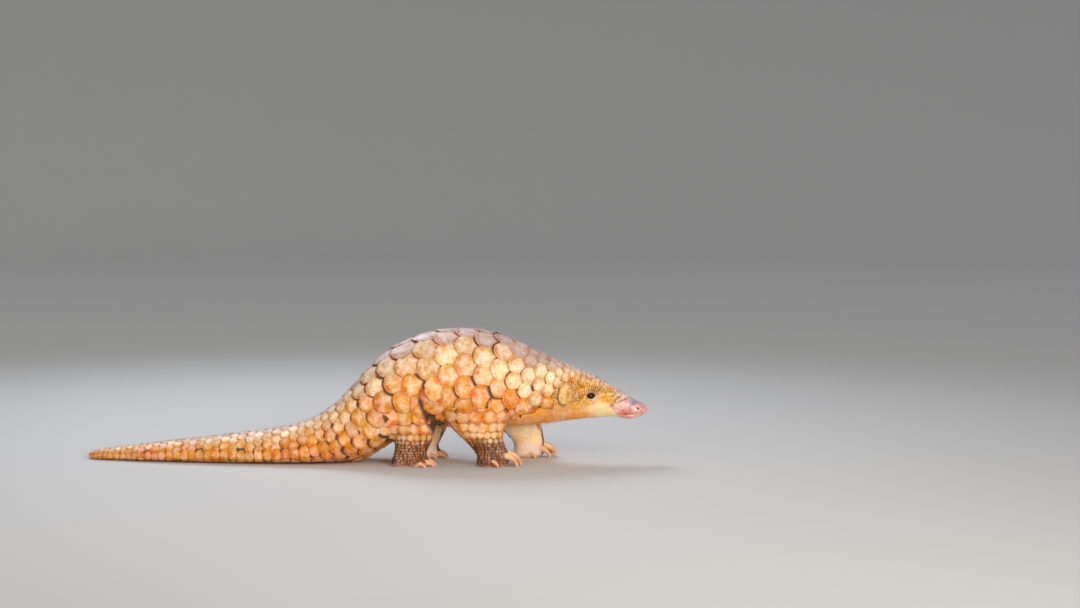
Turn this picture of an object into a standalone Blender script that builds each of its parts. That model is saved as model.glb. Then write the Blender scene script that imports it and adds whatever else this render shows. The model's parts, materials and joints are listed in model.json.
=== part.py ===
"""A Sunda pangolin, life size, standing still with its back arched and its tail laid on the floor.

The body is one smooth shape, lofted through named stations from the nose to the tip of the
tail and then parted by thin cuts into the lengths that a person would name. Each leg is lofted
from the body down to the ankle, joined to its foot and parted in the same way. The eyes and
claws are whole and sit in sockets. The outer faces lie at the tips of the scales.

X points ahead, Y to the animal's left and Z up. The floor is Z = 0. Distances along the body
are measured backwards from the tip of the nose.
"""

import math

import bmesh
import bpy
from mathutils import Matrix, Vector

# ---------------------------------------------------------------- driving dimensions, metres

BODY_LENGTH = 0.966  # nose to tail tip, as it stands
GAP = 0.0003  # clear space between parts that meet

# How far behind the nose, then the heights of the back line and the belly line, half of the
# width, and the height of the widest level as a share of the section.
STATIONS = {
    "nose": (0.000, 0.0985, 0.0820, 0.0105, 0.50),
    "nostrils": (0.014, 0.1047, 0.0770, 0.0135, 0.50),
    "chin": (0.034, 0.1148, 0.0718, 0.0165, 0.50),
    "mouth_corner": (0.056, 0.1272, 0.0770, 0.0205, 0.50),
    "eyes": (0.095, 0.1494, 0.0748, 0.0320, 0.50),
    "ears": (0.145, 0.1705, 0.0700, 0.0455, 0.48),
    "nape": (0.184, 0.1900, 0.0640, 0.0500, 0.46),
    "collar": (0.218, 0.2070, 0.0610, 0.0570, 0.44),
    "shoulders": (0.255, 0.2230, 0.0600, 0.0680, 0.42),
    "withers": (0.303, 0.2314, 0.0590, 0.0760, 0.40),
    "back": (0.354, 0.2297, 0.0580, 0.0820, 0.38),
    "hips": (0.396, 0.2178, 0.0520, 0.0850, 0.36),
    "rump": (0.447, 0.1922, 0.0260, 0.0810, 0.36),
    "tail_root": (0.495, 0.1440, 0.0010, 0.0710, 0.36),
    "tail_bend": (0.530, 0.1060, -0.0015, 0.0650, 0.32),
    "tail_fore": (0.590, 0.0700, -0.0020, 0.0590, 0.28),
    "tail_mid": (0.700, 0.0510, -0.0020, 0.0510, 0.28),
    "tail_rear": (0.840, 0.0330, -0.0020, 0.0360, 0.30),
    "tail_tip": (BODY_LENGTH, 0.0150, -0.0010, 0.0170, 0.35),
}
NOSE_ROUNDING = 0.009  # the length over which the nose closes to its tip
TAIL_ROUNDING = 0.020
TAIL_SWEEP = 0.034  # how far the tip of the tail lies to the left
TAIL_SWEEP_START = 0.560
BELLY_SQUARE = 2.0  # 2 is an ellipse, more is squarer
TAIL_SQUARE = 2.8  # the tail is flat underneath, with a sharp edge at each side
FLATTENING_LENGTH = 0.200  # behind the hips, over which the belly turns into the tail's underside
TIP_RING_ANGLES = (12, 35, 60, 90)  # degrees round the dome at each end of the body

BODY_SIDES = 24
HEAD_RING_STEP = 0.012
BODY_RING_STEP = 0.022

# The thin cuts across the body: how far back each lies, and how far its top leans back.
CUTS = {
    "mouth_corner": (0.056, 0.004),
    "nape": (0.163, 0.018),
    "collar": (0.226, 0.022),
    "midriff": (0.338, 0.000),
    "hips": (0.412, 0.010),
    "tail_root": (0.508, 0.045),
    "tail_third": (0.650, 0.010),
    "tail_two_thirds": (0.808, 0.004),
}
LENGTHS = {  # each named length of the body and the cuts that end it
    "muzzle": (None, "mouth_corner"),
    "head": ("mouth_corner", "nape"),
    "neck": ("nape", "collar"),
    "chest": ("collar", "midriff"),
    "back": ("midriff", "hips"),
    "rump": ("hips", "tail_root"),
    "tail_base": ("tail_root", "tail_third"),
    "tail_middle": ("tail_third", "tail_two_thirds"),
    "tail_end": ("tail_two_thirds", None),
}
CUT_HEIGHT = 0.100  # the level at which a leaning cut lies at its stated distance

MOUTH_HEIGHT = 0.0822  # the slit between snout and lower jaw, at the mouth corner
MOUTH_RISE = 0.04  # how steeply the slit falls towards the nose

EYE_RADIUS = 0.0075
EYE_BEHIND = 0.0985
EYE_HEIGHT = 0.1151
EYE_STANDS_OUT = 0.0026

EAR_BEHIND = 0.1425
EAR_HEIGHT = 0.1186
EAR_RADII = (0.0095, 0.0100, 0.0180)
EAR_STANDS_OUT = 0.0065
EAR_LEAN = math.radians(12)

LEG_SIDES = 14
# Heights down each leg, with half of its length fore and aft, the distance of its middle from
# the body's, and half of its width. How far back each height lies is the leg's own stance.
FORELEG = (
    (0.172, 0.040, 0.038, 0.022),
    (0.148, 0.058, 0.045, 0.031),
    (0.124, 0.067, 0.050, 0.036),
    (0.098, 0.063, 0.051, 0.035),
    (0.072, 0.051, 0.053, 0.030),
    (0.047, 0.035, 0.054, 0.026),
    (0.026, 0.027, 0.055, 0.023),
    (0.010, 0.023, 0.055, 0.020),
)
HINDLEG = (
    (0.140, 0.040, 0.040, 0.030),
    (0.110, 0.050, 0.046, 0.036),
    (0.080, 0.046, 0.049, 0.034),
    (0.058, 0.038, 0.051, 0.029),
    (0.040, 0.031, 0.052, 0.025),
    (0.024, 0.027, 0.053, 0.023),
    (0.010, 0.025, 0.053, 0.021),
)
LEG_RINGS = 9
LEG_SQUARE = 2.2
STANCES = {  # how far back the middle of each leg lies at the heights above
    "foreleg_right": (0.300, 0.300, 0.298, 0.292, 0.289, 0.281, 0.267, 0.260),
    "foreleg_left": (0.290, 0.288, 0.280, 0.264, 0.237, 0.212, 0.202, 0.200),
    "hindleg_right": (0.405, 0.402, 0.396, 0.394, 0.396, 0.401, 0.403),
    "hindleg_left": (0.395, 0.390, 0.382, 0.378, 0.380, 0.386, 0.388),
}
LEG_CUTS = {"foreleg": (0.066, 0.031), "hindleg": (0.062, 0.030)}  # heights of the two cuts

# Feet: length, half width, height over the ankle and over the toes, and how far the heel lies
# behind the middle of the ankle.
FOREFOOT = {"length": 0.053, "half_width": 0.025, "ankle": 0.034, "toes": 0.024, "heel": 0.030}
HINDFOOT = {"length": 0.062, "half_width": 0.026, "ankle": 0.032, "toes": 0.022, "heel": 0.031}
FOOT_SIDES = 12
FOOT_RINGS = 6
FOOT_SQUARE = 2.6
FOOT_BLUNTNESS = 4  # 2 is a round heel and toe, more is blunter
SOLE_SINK = 0.004  # how far the round sole would reach below the floor that it is cut at
TOE_RADIUS = 0.0098  # at the largest claw
TOE_SHAPE = (1.25, 1.02, 1.00)  # length, width and height of a toe as shares of its radius
TOE_AHEAD = 0.002  # middle of a toe, from the root of its claw
TOE_BELOW = 0.001
TOE_SIDES = 8
TOE_RINGS = 5

# Claws from the inner toe to the outer one: place across the foot as a share of its half
# width, distance behind the foremost claw, length outside the toe, and half width at the root.
FORE_CLAWS = (
    (-1.00, 0.021, 0.011, 0.0034),
    (-0.60, 0.005, 0.024, 0.0046),
    (0.00, 0.000, 0.032, 0.0056),
    (0.60, 0.003, 0.028, 0.0050),
    (1.00, 0.023, 0.012, 0.0034),
)
HIND_CLAWS = (
    (-0.98, 0.014, 0.011, 0.0036),
    (-0.52, 0.002, 0.015, 0.0043),
    (0.00, 0.000, 0.016, 0.0046),
    (0.52, 0.002, 0.015, 0.0043),
    (0.98, 0.013, 0.012, 0.0036),
)
CLAW_ROOT = 0.009  # the length of a claw that is inside its toe
CLAW_RAISE = math.radians(20)  # upward slope of a claw where it leaves the toe
CLAW_DROP = {"foreleg": math.radians(80), "hindleg": math.radians(45)}  # slope at its tip
CLAW_CLEAR = 0.0006  # height of the tip of a claw over the floor
CLAW_TIP = 0.10  # thickness at the tip, as a share of the root's
CLAW_TAPER = 2.2  # 1 is a straight taper, more keeps the claw thick for longer
CLAW_DEPTH = 1.18  # height of a claw as a share of its width
CLAW_SPREAD = math.radians(16)  # how far the outer claws turn out
CLAW_SIDES = 7
CLAW_RINGS = 5

COLOURS = {  # base colour and roughness
    "scales": ((0.62, 0.42, 0.22), 0.55),
    "skin": ((0.78, 0.58, 0.42), 0.60),
    "nose": ((0.80, 0.45, 0.42), 0.45),
    "eye": ((0.012, 0.009, 0.008), 0.08),
    "claw": ((0.80, 0.55, 0.36), 0.40),
}

# ---------------------------------------------------------------- curves and outlines


def curve_through(places, values):
    """A smooth function through the values that never swings past them."""
    slopes = [
        (values[i + 1] - values[i]) / (places[i + 1] - places[i]) for i in range(len(places) - 1)
    ]
    tangents = [slopes[0]]
    for before, after in zip(slopes, slopes[1:]):
        level = before * after <= 0
        tangents.append(0.0 if level else 2 * before * after / (before + after))
    tangents.append(slopes[-1])

    def value_at(place):
        place = min(max(place, places[0]), places[-1])
        i = max(k for k in range(len(places) - 1) if places[k] <= place)
        span = places[i + 1] - places[i]
        t = (place - places[i]) / span
        rise = values[i + 1] - values[i]
        ease = t * t * (3 - 2 * t)
        bow_in = t * (1 - t) ** 2 * span * tangents[i]
        bow_out = t * t * (t - 1) * span * tangents[i + 1]
        return values[i] + rise * ease + bow_in + bow_out

    return value_at


def curves_of(rows):
    """One smooth function for each column of the rows, over the first column."""
    columns = list(zip(*rows))
    order = sorted(range(len(rows)), key=lambda i: columns[0][i])
    places = [columns[0][i] for i in order]
    return [curve_through(places, [column[i] for i in order]) for column in columns[1:]]


def ahead(behind):
    """X of a place this far behind the tip of the nose."""
    return BODY_LENGTH / 2 - behind


def superellipse(angle, square):
    """Cosine and sine of the angle, pushed towards a square."""
    cosine, sine = math.cos(angle), math.sin(angle)
    power = 2 / square
    return (
        math.copysign(abs(cosine) ** power, cosine),
        math.copysign(abs(sine) ** power, sine),
    )


def rounding(from_end, length):
    """The share of its full size that a section has near a rounded end."""
    short = max(0.0, 1 - from_end / length)
    return math.sqrt(max(0.0, 1 - short * short))


def tail_side(behind):
    """How far the middle of the body lies to the left."""
    along = max(0.0, behind - TAIL_SWEEP_START) / (BODY_LENGTH - TAIL_SWEEP_START)
    return TAIL_SWEEP * along * along


BODY_CURVES = curves_of(list(STATIONS.values()))


def body_section(behind):
    """Points round the body at this distance behind the nose."""
    top, bottom, half_width, waist = (curve(behind) for curve in BODY_CURVES)
    size = rounding(behind, NOSE_ROUNDING) * rounding(BODY_LENGTH - behind, TAIL_ROUNDING)
    widest = bottom + (top - bottom) * waist
    tail_share = min(1.0, max(0.0, (behind - STATIONS["hips"][0]) / FLATTENING_LENGTH))
    square = BELLY_SQUARE + (TAIL_SQUARE - BELLY_SQUARE) * tail_share
    points = []
    for k in range(BODY_SIDES):
        angle = 2 * math.pi * k / BODY_SIDES
        upper = math.sin(angle) > 0
        across, up = superellipse(angle, 2.0 if upper else square)
        height = widest + (top - widest if upper else widest - bottom) * up * size
        side = tail_side(behind) + half_width * across * size
        points.append(Vector((ahead(behind), side, max(0.0, height))))
    return points


def body_places():
    """Distances behind the nose at which the body has a ring: closer on the head and the tips."""
    ends = [1 - math.cos(math.radians(angle)) for angle in TIP_RING_ANGLES]
    places = [NOSE_ROUNDING * share for share in ends]
    last = BODY_LENGTH - TAIL_ROUNDING
    while places[-1] < last:
        fine = places[-1] < STATIONS["ears"][0]
        places.append(places[-1] + (HEAD_RING_STEP if fine else BODY_RING_STEP))
    places[-1] = last
    places += [BODY_LENGTH - TAIL_ROUNDING * share for share in reversed(ends[:-1])]
    return places


# ---------------------------------------------------------------- mesh tools


def loft(rings):
    """A closed mesh through rings of equal numbers of points, facing out."""
    bm = bmesh.new()
    loops = [[bm.verts.new(point) for point in ring] for ring in rings]
    for loop, following in zip(loops, loops[1:]):
        for k in range(len(loop)):
            after = (k + 1) % len(loop)
            bm.faces.new((loop[k], loop[after], following[after], following[k]))
    bm.faces.new(loops[0])
    bm.faces.new(loops[-1])
    return finished(bm)


def finished(bm):
    """The mesh of a bmesh, with its faces turned outwards."""
    bmesh.ops.recalc_face_normals(bm, faces=bm.faces)
    mesh = bpy.data.meshes.new("shape")
    bm.to_mesh(mesh)
    bm.free()
    return mesh


def bmesh_of(mesh):
    bm = bmesh.new()
    bm.from_mesh(mesh)
    return bm


def grown(mesh, amount):
    """A copy of the mesh with its surface moved outwards."""
    bm = bmesh_of(mesh)
    bm.normal_update()
    moved = [vert.co + vert.normal * amount for vert in bm.verts]
    for vert, place in zip(bm.verts, moved):
        vert.co = place
    return finished(bm)


def kept_side(mesh, point, normal):
    """The part of the mesh on the side of a plane that its normal points to, with its cut closed."""
    bm = bmesh_of(mesh)
    normal = Vector(normal).normalized()
    geometry = bm.verts[:] + bm.edges[:] + bm.faces[:]
    cut = bmesh.ops.bisect_plane(
        bm,
        geom=geometry,
        plane_co=Vector(point) + normal * GAP / 2,
        plane_no=normal,
        clear_inner=True,
    )
    rim = [item for item in cut["geom_cut"] if isinstance(item, bmesh.types.BMEdge)]
    bmesh.ops.holes_fill(bm, edges=rim)
    return finished(bm)


def combined(mesh, others, operation):
    """The mesh joined with the others, or cut by them."""
    solid = bpy.data.objects.new("solid", mesh)
    bpy.context.scene.collection.objects.link(solid)
    tools = []
    for other in others:
        tool = bpy.data.objects.new("tool", other)
        bpy.context.scene.collection.objects.link(tool)
        boolean = solid.modifiers.new("boolean", "BOOLEAN")
        boolean.operation = operation
        boolean.object = tool
        boolean.use_self = True
        tools.append(tool)
    graph = bpy.context.evaluated_depsgraph_get()
    result = bpy.data.meshes.new_from_object(solid.evaluated_get(graph))
    for obj in [solid, *tools]:
        bpy.data.objects.remove(obj)
    return finished(bmesh_of(result))


def ball(radii, place, segments=12, rings=8, lean=0.0):
    """A closed ellipsoid, leaning backwards about Y."""
    bm = bmesh.new()
    bmesh.ops.create_uvsphere(bm, u_segments=segments, v_segments=rings, radius=1)
    shape = Matrix.Translation(place) @ Matrix.Rotation(-lean, 4, "Y") @ Matrix.Diagonal((*radii, 1))
    bmesh.ops.transform(bm, matrix=shape, verts=bm.verts)
    return finished(bm)


# ---------------------------------------------------------------- objects and materials


def material(name, look):
    colour, roughness = COLOURS[look]
    made = bpy.data.materials.new(name)
    made.use_nodes = True
    shader = made.node_tree.nodes["Principled BSDF"]
    shader.inputs["Base Color"].default_value = (*colour, 1)
    shader.inputs["Roughness"].default_value = roughness
    shader.inputs["Metallic"].default_value = 0.0
    return made


def add(name, mesh, look):
    """A finished part of the animal as an object of its own."""
    mesh.name = name
    mesh.materials.clear()
    mesh.materials.append(material(name, look))
    mesh.shade_smooth()
    mesh.set_sharp_from_angle(angle=math.radians(40))
    obj = bpy.data.objects.new(name, mesh)
    bpy.data.collections["pangolin"].objects.link(obj)


# ---------------------------------------------------------------- the body


def cut_plane(name, facing):
    """Point and normal of a cut across the body. It faces forwards with 1 and backwards with -1."""
    behind, lean = CUTS[name]
    return (ahead(behind), 0, CUT_HEIGHT), (facing, 0, facing * lean / CUT_HEIGHT)


def body_length(body, name):
    front, rear = LENGTHS[name]
    if front:
        body = kept_side(body, *cut_plane(front, -1))
    if rear:
        body = kept_side(body, *cut_plane(rear, 1))
    return body


def half_width_at(behind, height):
    """Half of the body's width at this distance behind the nose and this height."""
    top, bottom, half_width, waist = (curve(behind) for curve in BODY_CURVES)
    widest = bottom + (top - bottom) * waist
    reach = top - widest if height > widest else widest - bottom
    return half_width * math.sqrt(1 - ((height - widest) / reach) ** 2)


def add_head(body):
    """The muzzle in two jaws, the head with its two eyes in their sockets, and the ears."""
    muzzle = body_length(body, "muzzle")
    mouth_corner = (ahead(CUTS["mouth_corner"][0]), 0, MOUTH_HEIGHT)
    add("snout", kept_side(muzzle, mouth_corner, (MOUTH_RISE, 0, 1)), "nose")
    add("lower_jaw", kept_side(muzzle, mouth_corner, (-MOUTH_RISE, 0, -1)), "nose")

    sockets = []
    for side, sign in (("right", -1), ("left", 1)):
        depth = half_width_at(EYE_BEHIND, EYE_HEIGHT) + EYE_STANDS_OUT - EYE_RADIUS
        place = (ahead(EYE_BEHIND), sign * depth, EYE_HEIGHT)
        add(f"eye_{side}", ball([EYE_RADIUS] * 3, place), "eye")
        sockets.append(ball([EYE_RADIUS + GAP] * 3, place))
        depth = half_width_at(EAR_BEHIND, EAR_HEIGHT) + EAR_STANDS_OUT - EAR_RADII[1]
        lobe = ball(EAR_RADII, (ahead(EAR_BEHIND), sign * depth, EAR_HEIGHT), lean=EAR_LEAN)
        add(f"ear_{side}", combined(lobe, [grown(body, GAP)], "DIFFERENCE"), "skin")
    add("head", combined(body_length(body, "head"), sockets, "DIFFERENCE"), "scales")


# ---------------------------------------------------------------- legs, feet and claws


def leg_mesh(rows, stance, sign):
    """The whole leg from inside the body down to the foot, in level sections."""
    table = [(row[0], place, *row[1:]) for row, place in zip(rows, stance)]
    behind, half_length, out, half_width = curves_of(table)
    high, low = rows[0][0], rows[-1][0]
    rings = []
    for i in range(LEG_RINGS):
        height = high + (low - high) * i / (LEG_RINGS - 1)
        ring = []
        for k in range(LEG_SIDES):
            along, across = superellipse(2 * math.pi * k / LEG_SIDES, LEG_SQUARE)
            x = ahead(behind(height)) + half_length(height) * along
            ring.append(Vector((x, sign * out(height) + half_width(height) * across, height)))
        rings.append(ring)
    return loft(rings)


def foot_mesh(foot, heel, middle):
    """A low rounded foot. Its sole reaches below the floor, to be cut flat there."""
    rings = []
    for i in range(FOOT_RINGS):
        turned = TIP_RING_ANGLES[0] + (180 - 2 * TIP_RING_ANGLES[0]) * i / (FOOT_RINGS - 1)
        share = (1 - math.cos(math.radians(turned))) / 2
        size = math.sqrt(1 - (2 * share - 1) ** FOOT_BLUNTNESS)
        top = (foot["ankle"] + (foot["toes"] - foot["ankle"]) * share) * size
        ring = []
        for k in range(FOOT_SIDES):
            across, up = superellipse(2 * math.pi * k / FOOT_SIDES, FOOT_SQUARE)
            height = (top - SOLE_SINK) / 2 + (top + SOLE_SINK) / 2 * up
            side = middle + foot["half_width"] * across * size
            ring.append(Vector((heel + foot["length"] * share, side, height)))
        rings.append(ring)
    return loft(rings)


def claw_mesh(root, turn, length, half_width, drop):
    """A horn that leaves its toe a little upwards and bends down in an arc, and its root ring."""
    radius = (length + CLAW_ROOT) / (CLAW_RAISE + drop)
    ahead_of = Vector((math.cos(turn), math.sin(turn), 0))
    side_of = Vector((-math.sin(turn), math.cos(turn), 0))
    above = CLAW_CLEAR + radius * (math.cos(CLAW_RAISE) - math.cos(drop))
    rings = []
    for i in range(CLAW_RINGS):
        share = i / (CLAW_RINGS - 1)
        slope = CLAW_RAISE - share * (CLAW_RAISE + drop)
        reach = radius * (math.sin(CLAW_RAISE) - math.sin(slope))
        height = above + half_width * CLAW_TIP + radius * (math.cos(slope) - math.cos(CLAW_RAISE))
        middle = Vector((root[0], root[1], height)) + ahead_of * reach
        up = Vector((0, 0, 1)) * math.cos(slope) - ahead_of * math.sin(slope)
        half = half_width * (CLAW_TIP + (1 - CLAW_TIP) * (1 - share**CLAW_TAPER))
        ring = []
        for k in range(CLAW_SIDES):
            angle = 2 * math.pi * k / CLAW_SIDES
            ring.append(
                middle
                + side_of * half * math.cos(angle)
                + up * half * CLAW_DEPTH * math.sin(angle)
            )
        rings.append(ring)
    return loft(rings), rings[0]


def add_leg(name, body):
    """One leg in its upper and lower lengths, its foot, and the five claws in their toes."""
    kind, side = name.split("_")
    sign = -1 if side == "right" else 1
    rows, foot, claws = (
        (FORELEG, FOREFOOT, FORE_CLAWS) if kind == "foreleg" else (HINDLEG, HINDFOOT, HIND_CLAWS)
    )
    leg = leg_mesh(rows, STANCES[name], sign)
    middle = sign * rows[-1][2]
    heel = ahead(STANCES[name][-1]) - foot["heel"]
    front = heel + foot["length"]
    largest = max(claw[3] for claw in claws)

    toes, sockets, horns = [foot_mesh(foot, heel, middle)], [], []
    for across, set_back, length, half_width in claws:
        turn = sign * CLAW_SPREAD * across
        reach_out = sign * across * (foot["half_width"] - TOE_RADIUS / 2)
        root = (front - set_back - CLAW_ROOT, middle + reach_out)
        horn, root_ring = claw_mesh(root, turn, length, half_width, CLAW_DROP[kind])
        knuckle = sum(root_ring, Vector()) / CLAW_SIDES + Vector((TOE_AHEAD, 0, -TOE_BELOW))
        size = TOE_RADIUS * half_width / largest
        toes.append(ball([size * share for share in TOE_SHAPE], knuckle, TOE_SIDES, TOE_RINGS))
        horns.append(horn)
        sockets.append(grown(horn, GAP))
    whole = combined(leg, toes, "UNION")
    whole = kept_side(whole, (0, 0, -GAP / 2), (0, 0, 1))

    upper_cut, lower_cut = LEG_CUTS[kind]
    upper = kept_side(whole, (0, 0, upper_cut), (0, 0, 1))
    upper = combined(upper, [grown(body, GAP)], "DIFFERENCE")
    lower = kept_side(whole, (0, 0, upper_cut), (0, 0, -1))
    lower = kept_side(lower, (0, 0, lower_cut), (0, 0, 1))
    lower = combined(lower, [grown(body, GAP)], "DIFFERENCE")
    below = kept_side(whole, (0, 0, lower_cut), (0, 0, -1))
    below = combined(below, sockets, "DIFFERENCE")
    foot_name = f"{kind.replace('leg', 'foot')}_{side}"
    add(f"{name}_upper", upper, "scales")
    add(f"{name}_lower", lower, "scales")
    add(foot_name, below, "skin")
    for digit, horn in enumerate(horns, 1):
        add(f"claw_{foot_name}_{digit}", horn, "claw")


def main():
    for obj in list(bpy.data.objects):
        bpy.data.objects.remove(obj)
    bpy.context.scene.collection.children.link(bpy.data.collections.new("pangolin"))
    body = loft([body_section(behind) for behind in body_places()])
    add_head(body)
    for name in LENGTHS:
        if name not in ("muzzle", "head"):
            add(name, body_length(body, name), "scales")
    for name in STANCES:
        add_leg(name, body)


main()
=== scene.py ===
# %% [markdown]
# # A pangolin, life size
#
# A Sunda pangolin is a mammal in a coat of horn scales, with a bare face, throat and belly. The
# solid model gives its outline out to the tips of the scales. Here it gets its looks: one skin
# without seams, some eighteen hundred scales that overlap like roof tiles, bristles, eyes and claws.
#
# The solid model is loaded first, and nothing in it is moved: each piece is built around it.

# %% Load the solid model
import json
import math
import random

import bmesh
import bpy
import numpy as np
from mathutils import Matrix, Vector, kdtree, noise
from mathutils.bvhtree import BVHTree

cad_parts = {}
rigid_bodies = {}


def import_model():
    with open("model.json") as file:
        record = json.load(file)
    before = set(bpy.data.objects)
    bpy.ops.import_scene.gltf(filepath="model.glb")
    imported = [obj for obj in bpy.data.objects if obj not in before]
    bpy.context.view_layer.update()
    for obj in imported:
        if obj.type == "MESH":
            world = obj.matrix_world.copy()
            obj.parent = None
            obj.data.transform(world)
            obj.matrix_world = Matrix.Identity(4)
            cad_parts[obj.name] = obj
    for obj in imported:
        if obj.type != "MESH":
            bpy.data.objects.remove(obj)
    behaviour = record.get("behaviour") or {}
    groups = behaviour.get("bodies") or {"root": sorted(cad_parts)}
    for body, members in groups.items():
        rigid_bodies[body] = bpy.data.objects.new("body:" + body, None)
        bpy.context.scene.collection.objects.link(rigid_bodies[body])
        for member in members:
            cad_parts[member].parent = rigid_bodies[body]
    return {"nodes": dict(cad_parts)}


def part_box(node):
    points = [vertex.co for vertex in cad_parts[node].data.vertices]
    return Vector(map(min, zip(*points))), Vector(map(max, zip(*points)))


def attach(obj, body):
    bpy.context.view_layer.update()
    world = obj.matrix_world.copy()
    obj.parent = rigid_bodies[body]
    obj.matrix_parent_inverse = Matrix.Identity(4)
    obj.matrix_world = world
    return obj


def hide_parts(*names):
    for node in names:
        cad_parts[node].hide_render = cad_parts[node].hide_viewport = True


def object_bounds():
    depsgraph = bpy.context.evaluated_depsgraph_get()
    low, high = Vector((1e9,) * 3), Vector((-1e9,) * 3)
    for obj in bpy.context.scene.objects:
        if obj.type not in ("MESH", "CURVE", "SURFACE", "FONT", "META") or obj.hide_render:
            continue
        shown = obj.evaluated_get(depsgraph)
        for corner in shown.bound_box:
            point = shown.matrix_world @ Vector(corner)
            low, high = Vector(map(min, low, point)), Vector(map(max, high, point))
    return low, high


for old in list(bpy.data.objects):
    bpy.data.objects.remove(old)

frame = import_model()
solid_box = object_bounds()
print("solid model, metres:", [round(b - a, 3) for a, b in zip(*solid_box)])

# %% [markdown]
# ## The camera and the room
#
# The camera looks across the animal from its right side, four degrees downwards. It stands far
# back behind a long lens, so the profile is nearly flat. Its distance follows from the scale that
# the picture should have, in metres for each pixel.

# %% Camera
def in_scene(name, data):
    """A new object in the scene, which holds a mesh, a lamp or a camera."""
    made = bpy.data.objects.new(name, data)
    bpy.context.scene.collection.objects.link(made)
    return made


BODY_LENGTH = 0.966  # nose to tail tip
PICTURE_WIDTH, PICTURE_HEIGHT = 1080, 608
METRES_PER_PIXEL = 0.0017  # at the animal
NOSE_PIXEL = (648, 461)  # the column of the nose, and the row of the floor under the animal
LOOKS_DOWN = math.radians(4)
LENS, SENSOR = 70, 36

focal_pixels = LENS / SENSOR * PICTURE_WIDTH
distance = focal_pixels * METRES_PER_PIXEL
below_middle = NOSE_PIXEL[1] - PICTURE_HEIGHT / 2
aim_height = below_middle * distance / (
    focal_pixels * math.cos(LOOKS_DOWN) - below_middle * math.sin(LOOKS_DOWN)
)
aim_x = BODY_LENGTH / 2 - (NOSE_PIXEL[0] - PICTURE_WIDTH / 2) * METRES_PER_PIXEL

camera_data = bpy.data.cameras.new("camera")
camera_data.lens = LENS
camera_data.sensor_width = SENSOR
camera = in_scene("camera", camera_data)
camera.location = (
    aim_x,
    -distance * math.cos(LOOKS_DOWN),
    aim_height + distance * math.sin(LOOKS_DOWN),
)
camera.rotation_euler = (math.radians(90) - LOOKS_DOWN, 0, 0)
bpy.context.scene.camera = camera
print("camera at", [round(c, 3) for c in camera.location])

# %% [markdown]
# ## Floor and light
#
# Horn scales show their form by small highlights and by the dark line under each free edge. One
# hard lamp would burn out the highlights and a plain white sky would lose the lines. So there are
# four large soft lamps: a warm one beside the camera, a weak one towards the tail, a low one for
# the flank, and a cool one behind that draws the ridge of the back. Their beams are narrow, because
# a bright floor would light up the belly.
#
# The floor turns up into a wall all round, as a photographer's sweep does, so there is no horizon
# behind the animal. Its profile is spun round the middle in one step.

# %% Floor and light
def smooth_object(name, mesh, *finishes):
    """Puts a mesh in the scene, smoothly shaded and in its finishes."""
    mesh.polygons.foreach_set("use_smooth", np.ones(len(mesh.polygons), bool))
    for finish in finishes:
        mesh.materials.append(finish)
    return in_scene(name, mesh)


FLOOR_RADIUS, SWEEP_RADIUS, WALL_HEIGHT = 7.0, 3.0, 5.0
floor_mesh = bpy.data.meshes.new("floor")
bm = bmesh.new()
edge = [bm.verts.new((radius, 0, 0)) for radius in (0.001, 1.5, FLOOR_RADIUS)]
for degrees in range(10, 91, 10):
    turn = math.radians(degrees)
    out, up = SWEEP_RADIUS * math.sin(turn), SWEEP_RADIUS * (1 - math.cos(turn))
    edge.append(bm.verts.new((FLOOR_RADIUS + out, 0, up)))
edge.append(bm.verts.new((FLOOR_RADIUS + SWEEP_RADIUS, 0, WALL_HEIGHT)))
profile = [bm.edges.new(pair) for pair in zip(edge, edge[1:])]
bmesh.ops.spin(
    bm, geom=edge + profile, cent=(0, 0, 0), axis=(0, 0, 1), angle=2 * math.pi, steps=96, use_merge=True
)
bmesh.ops.recalc_face_normals(bm, faces=bm.faces)
bm.to_mesh(floor_mesh)
bm.free()
pale = bpy.data.materials.new("pale floor")
pale.use_nodes = True
shader = pale.node_tree.nodes["Principled BSDF"]
shader.inputs["Base Color"].default_value = (0.6, 0.59, 0.57, 1)
shader.inputs["Roughness"].default_value = 0.85
floor = smooth_object("floor", floor_mesh, pale)
print("floor", 2 * (FLOOR_RADIUS + SWEEP_RADIUS), "m across")

# %% Lamps
BEAM = math.radians(80)  # the lamps' spread, narrow enough to leave the floor under them dim
LAMPS_AIM = Vector((0.1, 0, 0.1))
LAMPS = {  # place, size, watts and colour
    "warm window": ((1.4, -2.5, 1.05), 1.5, 11, (1.0, 0.9, 0.78)),
    "far window": ((-1.6, -2.0, 1.5), 1.8, 2.8, (1.0, 0.94, 0.88)),
    "low bounce": ((1.5, -3.6, 0.62), 1.1, 4.4, (1.0, 0.88, 0.74)),
    "cool back light": ((-0.8, 1.9, 2.1), 1.4, 9.8, (0.78, 0.85, 1.0)),
}
for lamp_name, (place, size, watts, colour) in LAMPS.items():
    lamp_data = bpy.data.lights.new(lamp_name, "AREA")
    lamp_data.shape = "DISK"
    lamp_data.size = size
    lamp_data.spread = BEAM
    lamp_data.energy = watts
    lamp_data.color = colour
    lamp = in_scene(lamp_name, lamp_data)
    lamp.location = place
    lamp.rotation_euler = (LAMPS_AIM - Vector(place)).to_track_quat("-Z", "Y").to_euler()

world = bpy.data.worlds.new("pale room")
world.use_nodes = True
sky = world.node_tree.nodes["Background"]
sky.inputs["Color"].default_value = (0.86, 0.88, 0.92, 1)
sky.inputs["Strength"].default_value = 0.55
bpy.context.scene.world = world
bpy.context.scene.view_settings.view_transform = "Standard"
print(len(LAMPS), "lamps")

# %% [markdown]
# ## Measures along the body
#
# Nearly everything on this animal is placed by how far it lies behind the nose: the size of its
# scales, the depth of its coat, its colours. So there are lists of stations, given as that distance
# and a value, and the values in between lie on straight lines.

# %% Measures along the body
def behind(x):
    """How far a place lies behind the nose."""
    return BODY_LENGTH / 2 - x


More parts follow.
